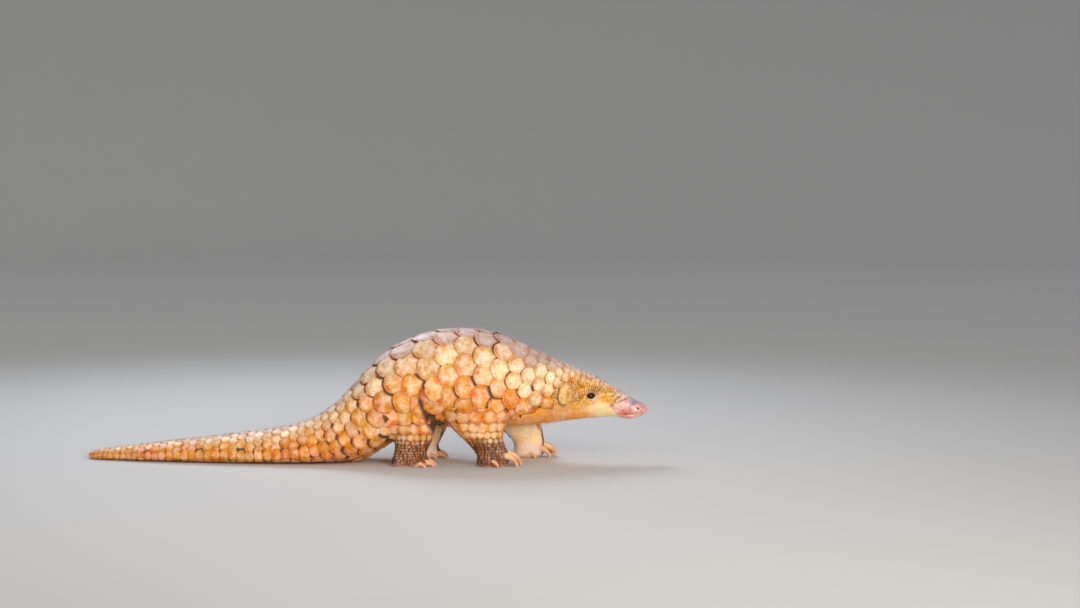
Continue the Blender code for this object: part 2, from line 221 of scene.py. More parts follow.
def between(value, low, high):
    """0 below low, 1 above high, and a smooth step in between."""
    share = np.clip((np.asarray(value, float) - low) / (high - low), 0, 1)
    return share * share * (3 - 2 * share)


def along_body(*stations):
    """A function of the distance behind the nose, which passes through (distance, value) pairs."""
    places, values = np.array(stations, float).T
    return lambda distance: np.interp(distance, places, values)


TAIL_BEND, TAIL_SWEEP = 0.56, 0.034  # where the tail starts to turn, and how far its tip lies left


def middle_side(distance):
    """How far the middle of the body lies to the left."""
    along = np.maximum(0.0, np.asarray(distance) - TAIL_BEND) / (BODY_LENGTH - TAIL_BEND)
    return TAIL_SWEEP * along * along

# %% [markdown]
# ## One skin
#
# The solid model is parted into head, neck, legs and so on. The real animal has one skin, so the
# parts of flesh are copied, each grown by half a millimetre to overlap its neighbours, and joined.
# Boolean unions would keep every facet. A voxel remesh doesn't mind how the parts cross and gives
# even squares, which smooth well.

# %% One skin: join the parts
EYES = ("eye_right", "eye_left")
CLAWS = [name for name in frame["nodes"] if name.startswith("claw_")]
FLESH = [name for name in frame["nodes"] if name not in EYES and name not in CLAWS]
OVERLAP = 0.0006
VOXEL = 0.0038
PLUG_AT, PLUG_SIZE = 0.2, 1.3  # the flesh round a claw's root: how far along it, and how thick


def solid_copy(name, grow=0.0):
    """A node's shape as a bmesh, its loose triangles joined up, moved outwards by grow."""
    copy = bmesh.new()
    copy.from_mesh(frame["nodes"][name].data)
    bmesh.ops.remove_doubles(copy, verts=copy.verts, dist=0.00001)
    copy.normal_update()
    for vertex, out in [(v, v.normal.copy()) for v in copy.verts]:
        vertex.co += out * grow
    return copy


def claw_line(name):
    """The middle of a claw's root, its tip, and half its height at the root."""
    places = np.array([v.co for v in frame["nodes"][name].data.vertices])
    foot = name.replace("claw_", "").rsplit("_", 1)[0]
    low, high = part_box(foot)
    heel = np.array([low.x, (low.y + high.y) / 2, 0.0])
    reach = np.linalg.norm(places - heel, axis=1)
    tip = places[np.argmax(places[:, 0] - 0.5 * places[:, 2])]
    root = places[reach < reach.min() + 0.002]
    return Vector(root.mean(axis=0)), Vector(tip), (root[:, 2].max() - root[:, 2].min()) / 2


CLAW_LINES = {name: claw_line(name) for name in CLAWS}
joined = bmesh.new()
for name in (*FLESH, *EYES):
    part = solid_copy(name, OVERLAP)
    part_mesh = bpy.data.meshes.new(name + "_copy")
    part.to_mesh(part_mesh)
    part.free()
    joined.from_mesh(part_mesh)
    bpy.data.meshes.remove(part_mesh)
for root, tip, half_height in CLAW_LINES.values():
    plug = Matrix.Translation(root.lerp(tip, PLUG_AT))
    bmesh.ops.create_icosphere(joined, subdivisions=2, radius=half_height * PLUG_SIZE, matrix=plug)
skin_mesh = bpy.data.meshes.new("skin")
joined.to_mesh(skin_mesh)
joined.free()

skin = in_scene("skin", skin_mesh)
remesh = skin.modifiers.new("even squares", "REMESH")
remesh.mode = "VOXEL"
remesh.voxel_size = VOXEL
skin.data = bpy.data.meshes.new_from_object(skin.evaluated_get(bpy.context.evaluated_depsgraph_get()))
skin.modifiers.clear()
bpy.data.meshes.remove(skin_mesh)
print("one skin of", len(skin.data.polygons), "squares")

# %% [markdown]
# The middle line runs through the body from nose to tail tip, halfway between the top and the
# underside. It is measured on the skin with rays from above and from below. Any point of the skin
# then has two plain coordinates: how far behind the nose it lies, and the angle round the middle
# line, from 0 degrees at the ridge of the back to 180 at the belly.

# %% The middle line of the body
LINE_STEP = 0.004
LINE_SMOOTHING = 12
BLOCK = 20000  # how many points are measured at once, to spare memory
UP = Vector((0, 0, 1))


def tree_of(mesh_object):
    """A search tree of an object's surface, for rays and nearest points."""
    return BVHTree.FromObject(mesh_object, bpy.context.evaluated_depsgraph_get())


rough_surface = tree_of(skin)
line_behind = np.arange(LINE_STEP, BODY_LENGTH - LINE_STEP, LINE_STEP)
line = []
for distance_behind in line_behind:
    x, y = BODY_LENGTH / 2 - distance_behind, float(middle_side(distance_behind))
    top = rough_surface.ray_cast(Vector((x, y, 1)), -UP)[0].z
    underside = rough_surface.ray_cast(Vector((x, y, -1)), UP)[0].z
    line.append((x, y, (top + underside) / 2))
line = np.array(line)
for _ in range(LINE_SMOOTHING):
    line[1:-1] = 0.25 * line[:-2] + 0.5 * line[1:-1] + 0.25 * line[2:]
line_back = np.gradient(line, axis=0)
line_back /= np.linalg.norm(line_back, axis=1)[:, None]
line_up = np.array([0, 0, 1]) - line_back * line_back[:, 2:]
line_up /= np.linalg.norm(line_up, axis=1)[:, None]
line_left = np.cross(line_back, line_up) * -1
line_length = np.concatenate([[0], np.cumsum(np.linalg.norm(np.diff(line, axis=0), axis=1))])


def around_body(points):
    """For each point: the nearest place of the middle line, and the angle round it in degrees."""
    nearest = np.empty(len(points), int)
    for start in range(0, len(points), BLOCK):
        block = points[start : start + BLOCK, None, ::2] - line[None, :, ::2]
        nearest[start : start + BLOCK] = (block**2).sum(axis=2).argmin(axis=1)
    offset = points - line[nearest]
    height = (offset * line_up[nearest]).sum(axis=1)
    side = (offset * line_left[nearest]).sum(axis=1)
    return nearest, np.degrees(np.arctan2(np.abs(side), height))


print("middle line of", len(line), "places,", round(line_length[-1], 3), "m long")

# %% [markdown]
# ## Smoothing, and room for the coat
#
# The facets of the solid model are two centimetres wide on the back and a few millimetres at the
# feet. One strength of smoothing would leave the first or melt the second, so the trunk is
# smoothed often and the head and feet only a few times. After that the skin is made finer where
# the detail is: the head and feet, then the face and toes, and last the rims of the eyes.
#
# The solids reach out to the tips of the scales, so the skin then sinks by the depth of the coat.

# %% Smoothing
def triples(items, measure):
    """A measure of three numbers, such as a place, of all the vertices or faces of a mesh."""
    flat = np.empty(len(items) * 3, np.float32)
    items.foreach_get(measure, flat)
    return flat.reshape(-1, 3).astype(float)


def places_of(mesh):
    """The vertices of a mesh as an array."""
    return triples(mesh.vertices, "co")


def normals_of(mesh):
    """The outward direction at each vertex."""
    return triples(mesh.vertex_normals, "vector")


FLOOR_CLEAR = 0.0002


def move_to(mesh, points):
    """Sets the vertices of a mesh, and keeps them just off the floor."""
    points[:, 2] = np.maximum(points[:, 2], FLOOR_CLEAR)
    mesh.vertices.foreach_set("co", points.astype(np.float32).ravel())
    mesh.update()


def smoothed(bm, chosen, times):
    """Relaxes the chosen vertices of a bmesh."""
    verts = [v for v in bm.verts if chosen[v.index]]
    for _ in range(times):
        bmesh.ops.smooth_vert(
            bm, verts=verts, factor=0.5, use_axis_x=True, use_axis_y=True, use_axis_z=True
        )


def finer(bm, chosen):
    """Halves the squares of the chosen faces."""
    edges = {edge for face in bm.faces if chosen(face.calc_center_median()) for edge in face.edges}
    bmesh.ops.subdivide_edges(bm, edges=list(edges), cuts=1, use_grid_fill=True)
    bm.verts.ensure_lookup_table()
    bm.verts.index_update()


HEAD_ENDS = 0.168  # behind the nose
FEET_TOP = 0.036
TAIL_STARTS = 0.47
TRUNK_PASSES, LEG_PASSES, HEAD_PASSES, FINE_PASSES = 22, 8, 4, 3

bm = bmesh.new()
bm.from_mesh(skin.data)
bm.verts.ensure_lookup_table()
points = places_of(skin.data)
far_back = behind(points[:, 0])
on_leg = (points[:, 2] < 0.07) & (far_back > 0.19) & (far_back < TAIL_STARTS)
on_leg &= np.abs(points[:, 1]) > 0.026
foot = on_leg & (points[:, 2] < FEET_TOP)
head = far_back < HEAD_ENDS
smoothed(bm, ~(on_leg | head), TRUNK_PASSES)
smoothed(bm, on_leg & ~foot, LEG_PASSES)
smoothed(bm, foot | head, HEAD_PASSES)
print("smoothed", len(bm.verts), "vertices")

# %% Finer where the detail is
def is_head_or_foot(place):
    """The head, and the feet up to the ankles."""
    is_foot = place.z < FEET_TOP and 0.155 < behind(place.x) < 0.425 and abs(place.y) > 0.024
    return is_foot or behind(place.x) < HEAD_ENDS


EYE_BALL = {side: (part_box(side)[0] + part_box(side)[1]) / 2 for side in EYES}
EYE_RADIUS = (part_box("eye_right")[1].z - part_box("eye_right")[0].z) / 2


def is_near(place, middles, reach):
    """Whether a place lies within reach of any of the middles."""
    return any((place - middle).length < reach for middle in middles)


def is_face_or_toe(place):
    """The eyes, the ears, the muzzle and the toes."""
    is_ear = 0.098 < behind(place.x) < 0.164 and 0.084 < place.z < 0.138
    is_toe = place.z < 0.03 and is_near(place, [root for root, _, _ in CLAW_LINES.values()], 0.0125)
    return is_toe or is_near(place, EYE_BALL.values(), 0.019) or is_ear or behind(place.x) < 0.062


def is_eye_rim(place):
    """The skin close round the eyes."""
    return is_near(place, EYE_BALL.values(), 0.0125)


for region in (is_head_or_foot, is_face_or_toe, is_eye_rim):
    finer(bm, region)
    chosen = np.zeros(len(bm.verts), bool)
    chosen[[v.index for v in bm.verts if region(v.co)]] = True
    smoothed(bm, chosen, FINE_PASSES)
bm.to_mesh(skin.data)
bm.free()
print("skin:", len(skin.data.polygons), "faces")

# %% [markdown]
# The coat grows on the back and flanks down to an edge that drops from the cheek to the belly, all
# round the tail, and on the outer and front sides of the legs. Only there does the skin sink.

# %% Where the scales grow
coat_edge = along_body(  # the angle from the ridge at which the scales end
    (0.044, 16), (0.05, 24), (0.062, 36), (0.08, 46), (0.095, 45), (0.112, 50), (0.13, 55),
    (0.15, 59), (0.158, 82), (0.168, 112), (0.184, 128), (0.2, 136), (0.225, 143), (0.33, 146),
    (0.4, 147), (0.45, 150), (0.5, 160), (0.54, 180), (0.966, 180),
)
coat_depth = along_body(  # in metres
    (0.045, 0.0002), (0.08, 0.0007), (0.12, 0.0012), (0.16, 0.0018), (0.2, 0.0027),
    (0.26, 0.0036), (0.45, 0.004), (0.6, 0.0034), (0.8, 0.0026), (0.966, 0.0016),
)
LEG_LINES = {  # height, how far behind the nose and how far out the middle of each leg lies
    "foreleg_right": ((0.124, 0.298, 0.048), (0.098, 0.292, 0.051), (0.072, 0.289, 0.053),
                      (0.047, 0.281, 0.054), (0.026, 0.267, 0.055), (0.008, 0.258, 0.055)),
    "foreleg_left": ((0.124, 0.28, 0.048), (0.098, 0.264, 0.051), (0.072, 0.237, 0.053),
                     (0.047, 0.212, 0.054), (0.026, 0.202, 0.055), (0.008, 0.198, 0.055)),
    "hindleg_right": ((0.11, 0.402, 0.046), (0.08, 0.396, 0.049), (0.058, 0.394, 0.051),
                      (0.04, 0.396, 0.052), (0.024, 0.401, 0.053), (0.008, 0.403, 0.053)),
    "hindleg_left": ((0.11, 0.39, 0.046), (0.08, 0.382, 0.049), (0.058, 0.378, 0.051),
                     (0.04, 0.38, 0.052), (0.024, 0.386, 0.053), (0.008, 0.388, 0.053)),
}


def leg_side(name):
    """-1 on the animal's right, +1 on its left."""
    return -1 if name.endswith("right") else 1


def leg_middle(name, height):
    """The middle of a leg at a height, as x and y."""
    heights, distances, outs = np.array(LEG_LINES[name][::-1]).T
    x = BODY_LENGTH / 2 - np.interp(height, heights, distances)
    return x, leg_side(name) * np.interp(height, heights, outs)


def leg_fields(points, normals):
    """1 on a leg and 0 on the trunk, and 1 on the outer and front side of a leg, 0 on its inner."""
    share, outer = np.zeros(len(points)), np.zeros(len(points))
    for name in LEG_LINES:
        x, y = leg_middle(name, points[:, 2])
        reach = np.hypot(points[:, 0] - x, points[:, 1] - y)
        near = 1 - between(reach, 0.05, 0.075)
        near *= 1 - between(points[:, 2], 0.066, 0.096)
        near *= between(np.abs(points[:, 1]), 0.016, 0.026)
        outward = leg_side(name) * normals[:, 1] + 0.35 * np.maximum(0, normals[:, 0])
        outer = np.where(near > share, between(outward, -0.15, 0.1), outer)
        share = np.maximum(share, near)
    return share, outer


TOE_BARE, TOE_SCALED = 0.005, 0.0085  # how far from a claw's root the toe is bare, and is scaled
SMALL_TOE_REACH = 0.55  # the inner and the outer toe, as a share of the others


def near_toe(points):
    """1 at the root of a claw, 0 away from it."""
    nearest = np.ones(len(points))
    for name, (root, _, _) in CLAW_LINES.items():
        reach = SMALL_TOE_REACH if name[-1] in "15" else 1
        nearest = np.minimum(nearest, np.linalg.norm(points - np.array(root), axis=1) / reach)
    return 1 - between(nearest, TOE_BARE, TOE_SCALED)


def scaled_share(points, normals):
    """1 where the coat grows, 0 where the skin is bare."""
    distances = behind(points[:, 0])
    angles = around_body(points)[1]
    on_trunk = 1 - between(angles - coat_edge(distances), -3, 5)
    share, outer = leg_fields(points, normals)
    grown = on_trunk * (1 - share) + outer * share
    grown *= between(distances, 0.042, 0.05) * (1 - near_toe(points))
    return np.where((points[:, 2] < 0.01) & (distances < TAIL_STARTS), 0, grown)


points = places_of(skin.data)
normals = normals_of(skin.data)
far_back = behind(points[:, 0])
leg_share, _ = leg_fields(points, normals)
scaled = scaled_share(points, normals)
leg_depth = np.interp(points[:, 2], (0.008, 0.03, 0.07, 0.1), (0.0004, 0.0012, 0.0024, 0.0034))
depth = coat_depth(far_back) * (1 - leg_share) + leg_depth * leg_share
points -= normals * (depth * scaled)[:, None]
move_to(skin.data, points)
print("scaled share of the skin:", round(float(scaled.mean()), 2))

# %% [markdown]
# ## The face
#
# The head is a narrow cone with no forehead, from the crown straight to a blunt moist nose. What
# makes it a face is small: thick rolled lids round a dark eye, a comma of a nostril, a short mouth
# slit with a soft chin under it, and an ear that is only a fleshy ridge.
#
# They are smooth bumps in the skin, each with a middle, a reach along three ways and a height.
# Bumps can be read and changed one by one, which a mesh sculpted by hand doesn't allow.

# %% Tools for sculpting
def bump(points, middle, reach, turn=0.0):
    """1 at the middle, falling to nothing beyond the reach along X, Y and Z, turned about Y."""
    offset = points - np.array(middle)
    x = offset[:, 0] * math.cos(turn) + offset[:, 2] * math.sin(turn)
    z = offset[:, 2] * math.cos(turn) - offset[:, 0] * math.sin(turn)
    squared = (x / reach[0]) ** 2 + (offset[:, 1] / reach[1]) ** 2 + (z / reach[2]) ** 2
    return np.exp(-2.2 * squared)


def bell(values, middle, width):
    """1 at the middle, falling to nothing a few widths away."""
    return np.exp(-(((values - middle) / width) ** 2))


def ahead(distance):
    """The X of a place this far behind the nose."""
    return BODY_LENGTH / 2 - distance


def side_at(distance, height, side):
    """The place on the surface of a side, this far behind the nose and at this height."""
    start = Vector((ahead(distance), side * 0.3, height))
    return np.array(tree_of(skin).ray_cast(start, Vector((0, -side, 0)))[0])

# %% [markdown]
# The eye lies a little sunk between its lids. A ring round the ball is raised into two rolls, the
# upper one thicker, with a groove behind them, and the skin inside the ring goes behind the ball.
# The opening is almost round, with a small point at each corner.

# %% Lids round the eyes
LID_OPENING = (0.007, 0.0056)  # half its length and half its height
LID_ROLL = 0.0014


def eye_axis(side):
    """The way that an eye looks."""
    return np.array(Vector((0.22, side, 0.1)).normalized())


for name, ball in EYE_BALL.items():
    side = leg_side(name)
    points = places_of(skin.data)
    axis = eye_axis(side)
    offset = points - np.array(ball)
    out = offset @ axis
    flat = offset - out[:, None] * axis
    forward, up = flat[:, 0] / LID_OPENING[0], flat[:, 2] / LID_OPENING[1]
    corner = 1 + 0.12 * between(np.abs(forward), 0.3, 1.0) * (1 - between(np.abs(up), 0.15, 0.6))
    ring = np.hypot(forward, up) / corner
    near = (out > -0.001) & (ring < 4)
    inside = near & (ring < 0.93)
    upper = between(up, -0.3, 0.5)
    ball_surface = np.sqrt(np.maximum(0, EYE_RADIUS**2 - (flat**2).sum(axis=1)))
    roll = LID_ROLL * (0.75 + 0.45 * upper) * bell(ring, 1.16, 0.2)
    crease = -0.001 * bell(ring, 1.62, 0.16) * (0.6 + 0.4 * upper)
    brow = 0.001 * bell(ring, 2.15, 0.38) * upper
    pouch = 0.0005 * bell(ring, 2.0, 0.3) * (1 - upper)
    points += np.where(near, roll + crease + brow + pouch, 0)[:, None] * axis
    rests = near & (ring >= 0.93) & (ring < 1.35)
    out = (points - np.array(ball)) @ axis
    lifted = np.maximum(out, ball_surface + 0.0007) - out
    points += np.where(rests, lifted, 0)[:, None] * axis
    sunk = np.where(inside, ball_surface - 0.0022 - out, 0)
    points += np.minimum(sunk, 0)[:, None] * axis
    move_to(skin.data, points)
print("lids round", len(EYE_BALL), "eyes")

# %% [markdown]
# The nostrils are short slits, curved like commas, on the sides of the nose pad. The mouth runs
# back from under the nose and is short, because a pangolin has no teeth, only a long tongue.

# %% Nose and mouth
MOUTH_CORNER, MOUTH_FRONT = 0.05, 0.012
MOUTH_LEVEL, MOUTH_SLOPE = 0.0822, 0.04
NOSTRIL = (0.017, 0.0915)  # how far behind the nose, and height
NOSTRIL_TURN = -38  # degrees
NOSE_DROOP = 0.0026  # how much lower the top of the nose lies than on the solid
points = places_of(skin.data)
far_back = behind(points[:, 0])
droop = NOSE_DROOP * (1 - between(far_back, 0.016, 0.06)) * between(points[:, 2], 0.086, 0.1)
points[:, 2] -= droop
move_to(skin.data, points)
normals = normals_of(skin.data)
for side in (-1, 1):
    pit = side_at(*NOSTRIL, side)
    slit = bump(points, pit, (0.0036, 0.006, 0.0017), math.radians(NOSTRIL_TURN))
    tail_of_slit = bump(points, pit + np.array([-0.0028, 0, 0.0018]), (0.002, 0.006, 0.0013))
    wing = bump(points, pit + np.array([-0.003, 0, -0.0016]), (0.0045, 0.006, 0.0034))
    points[:, 1] -= side * (0.004 * slit + 0.0018 * tail_of_slit - 0.0013 * wing)
pad_edge = 0.0175 + 0.35 * (points[:, 2] - 0.092)
groove = bell(far_back, pad_edge, 0.0012) * between(points[:, 2], 0.088, 0.095)
points -= normals * (0.0005 * groove)[:, None]
lips = MOUTH_LEVEL - MOUTH_SLOPE * (0.056 - far_back) + 0.0012 * between(far_back, 0.04, 0.052)
along_mouth = between(far_back, MOUTH_FRONT, MOUTH_FRONT + 0.02)
along_mouth *= 1 - between(far_back, MOUTH_CORNER - 0.004, MOUTH_CORNER + 0.002)
above_lips = points[:, 2] - lips
slit = bell(above_lips, 0, 0.0008) * along_mouth
upper_lip = bell(above_lips, 0.0022, 0.0014) * along_mouth
lower_lip = bell(above_lips, -0.0026, 0.0018) * along_mouth
points += normals * (0.0005 * upper_lip + 0.0009 * lower_lip - 0.0016 * slit)[:, None]
for side in (-1, 1):
    corner = side_at(MOUTH_CORNER, 0.0825, side)
    points[:, 1] += side * 0.001 * bump(points, corner + np.array([-0.004, 0, 0]), (0.003, 0.008, 0.004))
move_to(skin.data, points)
print("mouth", round(MOUTH_CORNER - MOUTH_FRONT, 3), "m long")

# %% [markdown]
# The ear is a rounded fleshy ridge with a hollow in front of it. Soft folds run across the throat
# and gather where the legs leave the body, and behind each foreleg the shoulder stands over the
# flank with a step.

# %% Ears and folds
EAR_SIZE = (0.0098, 0.0165)  # half its width and half its height
EARS = [(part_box(name)[0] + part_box(name)[1]) / 2 for name in ("ear_right", "ear_left")]
points = places_of(skin.data)
normals = normals_of(skin.data)
far_back = behind(points[:, 0])


def ear_ring(points, middle):
    """Where points lie on an ear: forward, up and from its middle out, with 1 at its rim."""
    offset, lean = points - middle, math.radians(-12)
    forward = (offset[:, 0] * math.cos(lean) + offset[:, 2] * math.sin(lean)) / EAR_SIZE[0]
    up = (offset[:, 2] * math.cos(lean) - offset[:, 0] * math.sin(lean)) / EAR_SIZE[1]
    ring = np.hypot(forward, up)
    return forward, up, ring


for name in ("ear_right", "ear_left"):
    side = leg_side(name)
    low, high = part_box(name)
    middle = np.array((low + high) / 2)
    middle[1] = high.y if side > 0 else low.y
    offset = points - middle
    forward, up, ring = ear_ring(points, middle)
    near = (offset[:, 1] * side > -0.02) & (ring < 2.2)
    rim = bell(ring, 0.86, 0.2) * (1 - 0.6 * between(forward, 0.1, 0.8))
    hollow = np.exp(-(((forward - 0.35) / 0.34) ** 2 + ((up - 0.05) / 0.52) ** 2))
    groove = bell(ring, 1.22, 0.13) * (1 - between(forward - 0.5 * (1 - up), 0.0, 0.8))
    points[:, 1] += side * np.where(near, 0.001 * rim - 0.0032 * hollow - 0.0012 * groove, 0)
move_to(skin.data, points)


def mottle(points, scale, shift=(0, 0, 0)):
    """Smooth noise from -1 to 1 at each place, finer where the scale is larger."""
    return np.array([noise.noise(Vector(p) * scale + Vector(shift)) for p in points])


def waves(values, gap, bend):
    """Soft folds a gap apart, as a height from 0 to 1, with their line bent by bend."""
    return 0.5 + 0.5 * np.sin(2 * math.pi * (values + bend) / gap)


def past_shoulder(name, points):
    """How far each place lies behind the rear edge of a foreleg's shoulder."""
    heights = np.clip(points[:, 2], 0.045, 0.135)
    reach = np.interp(heights, (0.045, 0.061, 0.088, 0.112, 0.135), (0.056, 0.064, 0.073, 0.08, 0.072))
    return leg_middle(name, heights)[0] - reach - points[:, 0]


wander = mottle(points, 22)
bare = 1 - scaled_share(points, normals)
share, _ = leg_fields(points, normals)
throat = bare * between(far_back, 0.1, 0.16) * (1 - between(far_back, 0.26, 0.3)) * (1 - share)
crosswise = waves(far_back, 0.0125, 0.01 * wander) * throat * between(-normals[:, 2], -0.2, 0.6)
belly = bare * between(far_back, 0.25, 0.3) * (1 - share) * (far_back < TAIL_STARTS)
belly_folds = waves(far_back, 0.021, 0.02 * wander) * belly
joint = share * bare * (1 - between(points[:, 2], 0.06, 0.085)) * between(points[:, 2], 0.02, 0.03)
leg_folds = waves(points[:, 2], 0.0085, 0.006 * wander) * joint
points -= normals * (0.0009 * crosswise + 0.0012 * belly_folds + 0.0009 * leg_folds)[:, None]
for name in ("foreleg_right", "foreleg_left"):
    past = past_shoulder(name, points)
    step = -0.5 * (1 + np.tanh(past / 0.0045)) * np.exp(-((np.maximum(0, past) / 0.024) ** 2))
    step *= between(points[:, 2], 0.046, 0.062) * (1 - between(points[:, 2], 0.122, 0.146))
    step *= points[:, 1] * leg_side(name) > 0.03
    points += normals * (0.0055 * step)[:, None]
move_to(skin.data, points)
print("folds up to", round(float(crosswise.max()) * 0.9, 2), "mm deep on the throat")

# %% [markdown]
# Each claw grows out of a toe: a short round swelling with a fold of skin over the claw's root and
# a groove to the next toe. The claws say where the toes are.

# %% Toes
TOE_SWELL, TOE_GROOVE = 0.004, 0.004
SOLE_ROUND, SOLE_TUCK = 0.0075, 0.0034  # how high the sole's rim is rounded, and how far it goes in
points = places_of(skin.data)
normals = normals_of(skin.data)
share, _ = leg_fields(points, normals)
low = (1 - between(points[:, 2], 0, SOLE_ROUND)) ** 2 * (share > 0.3) * (np.abs(normals[:, 2]) < 0.8)
sideways = normals * np.array([1, 1, 0])
points -= sideways * (SOLE_TUCK * low)[:, None]
for foot in ("forefoot_right", "forefoot_left", "hindfoot_right", "hindfoot_left"):
    toes = [CLAW_LINES[name] for name in CLAWS if name.startswith("claw_" + foot)]
    toes.sort(key=lambda toe: toe[0].y)
    for root, tip, half_height in toes:
        way = np.array(tip - root)
        way[2] = 0
        way /= np.linalg.norm(way)
        knuckle = bump(points, np.array(root) - way * 0.004, (0.0105, 0.0058, 0.0066))
        cuff = bump(points, np.array(root) + way * 0.001, (0.0024, 0.005, 0.005))
        points += normals * (TOE_SWELL * knuckle + 0.001 * cuff)[:, None]
        points += np.outer(0.0045 * bump(points, root, (0.009, 0.0056, 0.007)), way)
    for (first, *_), (second, *_) in zip(toes, toes[1:]):
        middle = np.array(first + second) / 2 - np.array([0.0045, 0, 0])
        if (first - second).length < 0.022:
            points -= normals * (TOE_GROOVE * bump(points, middle, (0.011, 0.0022, 0.011)))[:, None]
move_to(skin.data, points)
print("toes on", len(CLAWS), "claws")

# %% [markdown]
# ## Markings
#
# The coat is straw coloured, greyer and faintly lilac along the ridge of the back, peach on the
# flanks, orange low down and brown on the feet. The lilac of the ridge is partly dust and partly
# painted cool skylight on the top of the body. The bare skin runs from orange on the throat through
# cream on the cheeks to pink at the nose.
#
# Scales and skin have to agree where they meet, or bare patches look like holes. So a colour is a
# function of the place on the body, built up as a painter does it: a ground, and then one layer
# after another, each with a soft border. It is stored on the vertices of both, and the finer
# pattern comes from the materials.

# %% Colours
# lilac of the back's ridge: partly dust, partly painted cool skylight on the top of the body
LILAC_DUST_AND_SKYLIGHT = (0.5, 0.405, 0.4)
STRAW = (0.86, 0.65, 0.39)
CREAM = (0.92, 0.76, 0.5)
HONEY = (0.98, 0.74, 0.36)
PALE_HONEY = (1.000, 0.77, 0.45)
PEACH = (0.85, 0.49, 0.225)
ORANGE = (0.78, 0.32, 0.07)
TANGERINE = (0.95, 0.4, 0.085)
GOLD = (0.9, 0.47, 0.11)
PALE_GOLD = (0.93, 0.62, 0.25)
# pale greys of the crown and of the bridge of the nose: partly painted cool skylight on the top of the
# head
CROWN_GREY_AND_SKYLIGHT = (0.76, 0.62, 0.58)
BRIDGE_GREY_AND_SKYLIGHT = (0.74, 0.6, 0.58)
FLESH_PINK = (0.8, 0.35, 0.31)
PALE_PINK = (0.93, 0.66, 0.62)
LID_PINK = (0.9, 0.66, 0.52)
ROSE = (0.62, 0.2, 0.19)
# mauve on the top of the nose: a painted reflection of a blue sky
SKY_REFLECTION_MAUVE = (0.43, 0.3, 0.36)
PALE_PAW = (0.88, 0.66, 0.55)
PALE_SOLE = (0.8, 0.56, 0.44)
BRICK = (0.74, 0.38, 0.24)
TOE_RED = (0.7, 0.27, 0.15)
BARK = (0.26, 0.1, 0.045)
PAW_BROWN = (0.3, 0.14, 0.09)
LID_BROWN = (0.3, 0.14, 0.06)
LID_RIM = (0.16, 0.07, 0.05)
EAR_HOLLOW = (0.5, 0.21, 0.06)
# painted shade in the groove behind and under each ear
EAR_GROOVE_SHADE = (0.22, 0.09, 0.03)
NOSE_SPOTS = (0.32, 0.13, 0.1)
NOSTRIL_DARK = (0.1, 0.035, 0.04)
# painted shade: the skin under the coat, nearly black so that the cracks between scales look deep
UNDER_COAT_SHADE = (0.085, 0.032, 0.016)


def blend_to(base, colour, share):
    """Moves colours towards another by a share for each place."""
    return base + (np.array(colour) - base) * np.clip(share, 0, 1)[:, None]


def layered(base, *layers):
    """A colour, or one for each place, with layers over it: each a colour and its shares."""
    base = np.array(base)
    for colour, share in layers:
        base = blend_to(base, colour, share)
    return base

# %% [markdown]
# The coat's colour follows the angle round the body, from the ridge to the belly, and the distance
# behind the nose. Two kinds of noise keep the borders from running straight: a slow drift of the
# angle, and a patch of a few scales that is redder or paler.

# %% Colour of the coat
def coat_colour(points, angles):
    """The colour of the coat at each place, given its angle round the body."""
    distance = behind(points[:, 0])
    angles = angles + 14 * mottle(points, 14)
    patch = mottle(points, 34, (5, 1, 2))
    low_neck = between(angles, 94, 110) * (1 - between(distance, 0.24, 0.3))
    forehead = (1 - between(distance, 0.1, 0.15)) * between(angles, 22, 40)
    crown = (1 - between(distance, 0.1, 0.16)) * (1 - between(angles, 22, 44))
    return layered(
        STRAW,
        (CREAM, 0.7 * (1 - between(distance, 0.16, 0.27))),
        (PEACH, between(angles, 52, 84) * between(distance, 0.2, 0.34)),
        (ORANGE, 0.9 * between(angles, 84, 122) * between(distance, 0.2, 0.3)),
        (ORANGE, 0.75 * low_neck * between(distance, 0.13, 0.17)),
        (ORANGE, 0.55 * between(angles, 60, 90) * between(distance, 0.44, 0.56)),
        # the ridge of the back: lilac, partly dust and partly painted cool skylight
        (LILAC_DUST_AND_SKYLIGHT, (1 - between(angles, 20, 50)) * (0.9 + 0.3 * patch)),
        (GOLD, 0.6 * forehead),
        # the crown: pale grey, partly painted cool skylight on the top of the head
        (CROWN_GREY_AND_SKYLIGHT, crown * (0.9 + 0.6 * patch)),
        (PEACH, 0.4 * np.maximum(0, patch)),
        (CREAM, 0.35 * np.maximum(0, -patch) * (angles > 40)),
    )


def leg_colour(points):
    """The colour of the scales on the legs, browner towards the feet."""
    patch = mottle(points, 60)
    low = 1 - between(points[:, 2], 0.032, 0.056)
    return layered(
        STRAW,
        (PEACH, 0.35 + 0.7 * patch),
        (ORANGE, 0.25 * between(points[:, 2], 0.036, 0.05)),
        (BRICK, low * (0.7 + 0.8 * patch)),
        (BARK, low * (0.58 + 2.2 * np.maximum(0, -patch))),
    )

# %% [markdown]
# A pangolin's face is speckled. Freckles are too fine for vertices, so here is only the share of
# them, and the material draws them. The larger blotches of the muzzle are soft spots in a table,
# and so are the painted highlights of its wet pad and lower lip and the painted reflections of a
# blue sky on the top of the nose.

# %% Freckles and blotches
def freckle_share(points):
    """1 on the temples and the middle of the face, where the skin is speckled with brown."""
    distance, height = behind(points[:, 0]), points[:, 2]
    lowest = np.interp(distance, (0.05, 0.06, 0.07, 0.085, 0.1, 0.12, 0.16),
                       (0.11, 0.0985, 0.102, 0.106, 0.098, 0.09, 0.088))
    face = between(distance, 0.047, 0.055) * (1 - between(distance, 0.165, 0.185))
    return face * between(height - lowest, -0.003, 0.004)


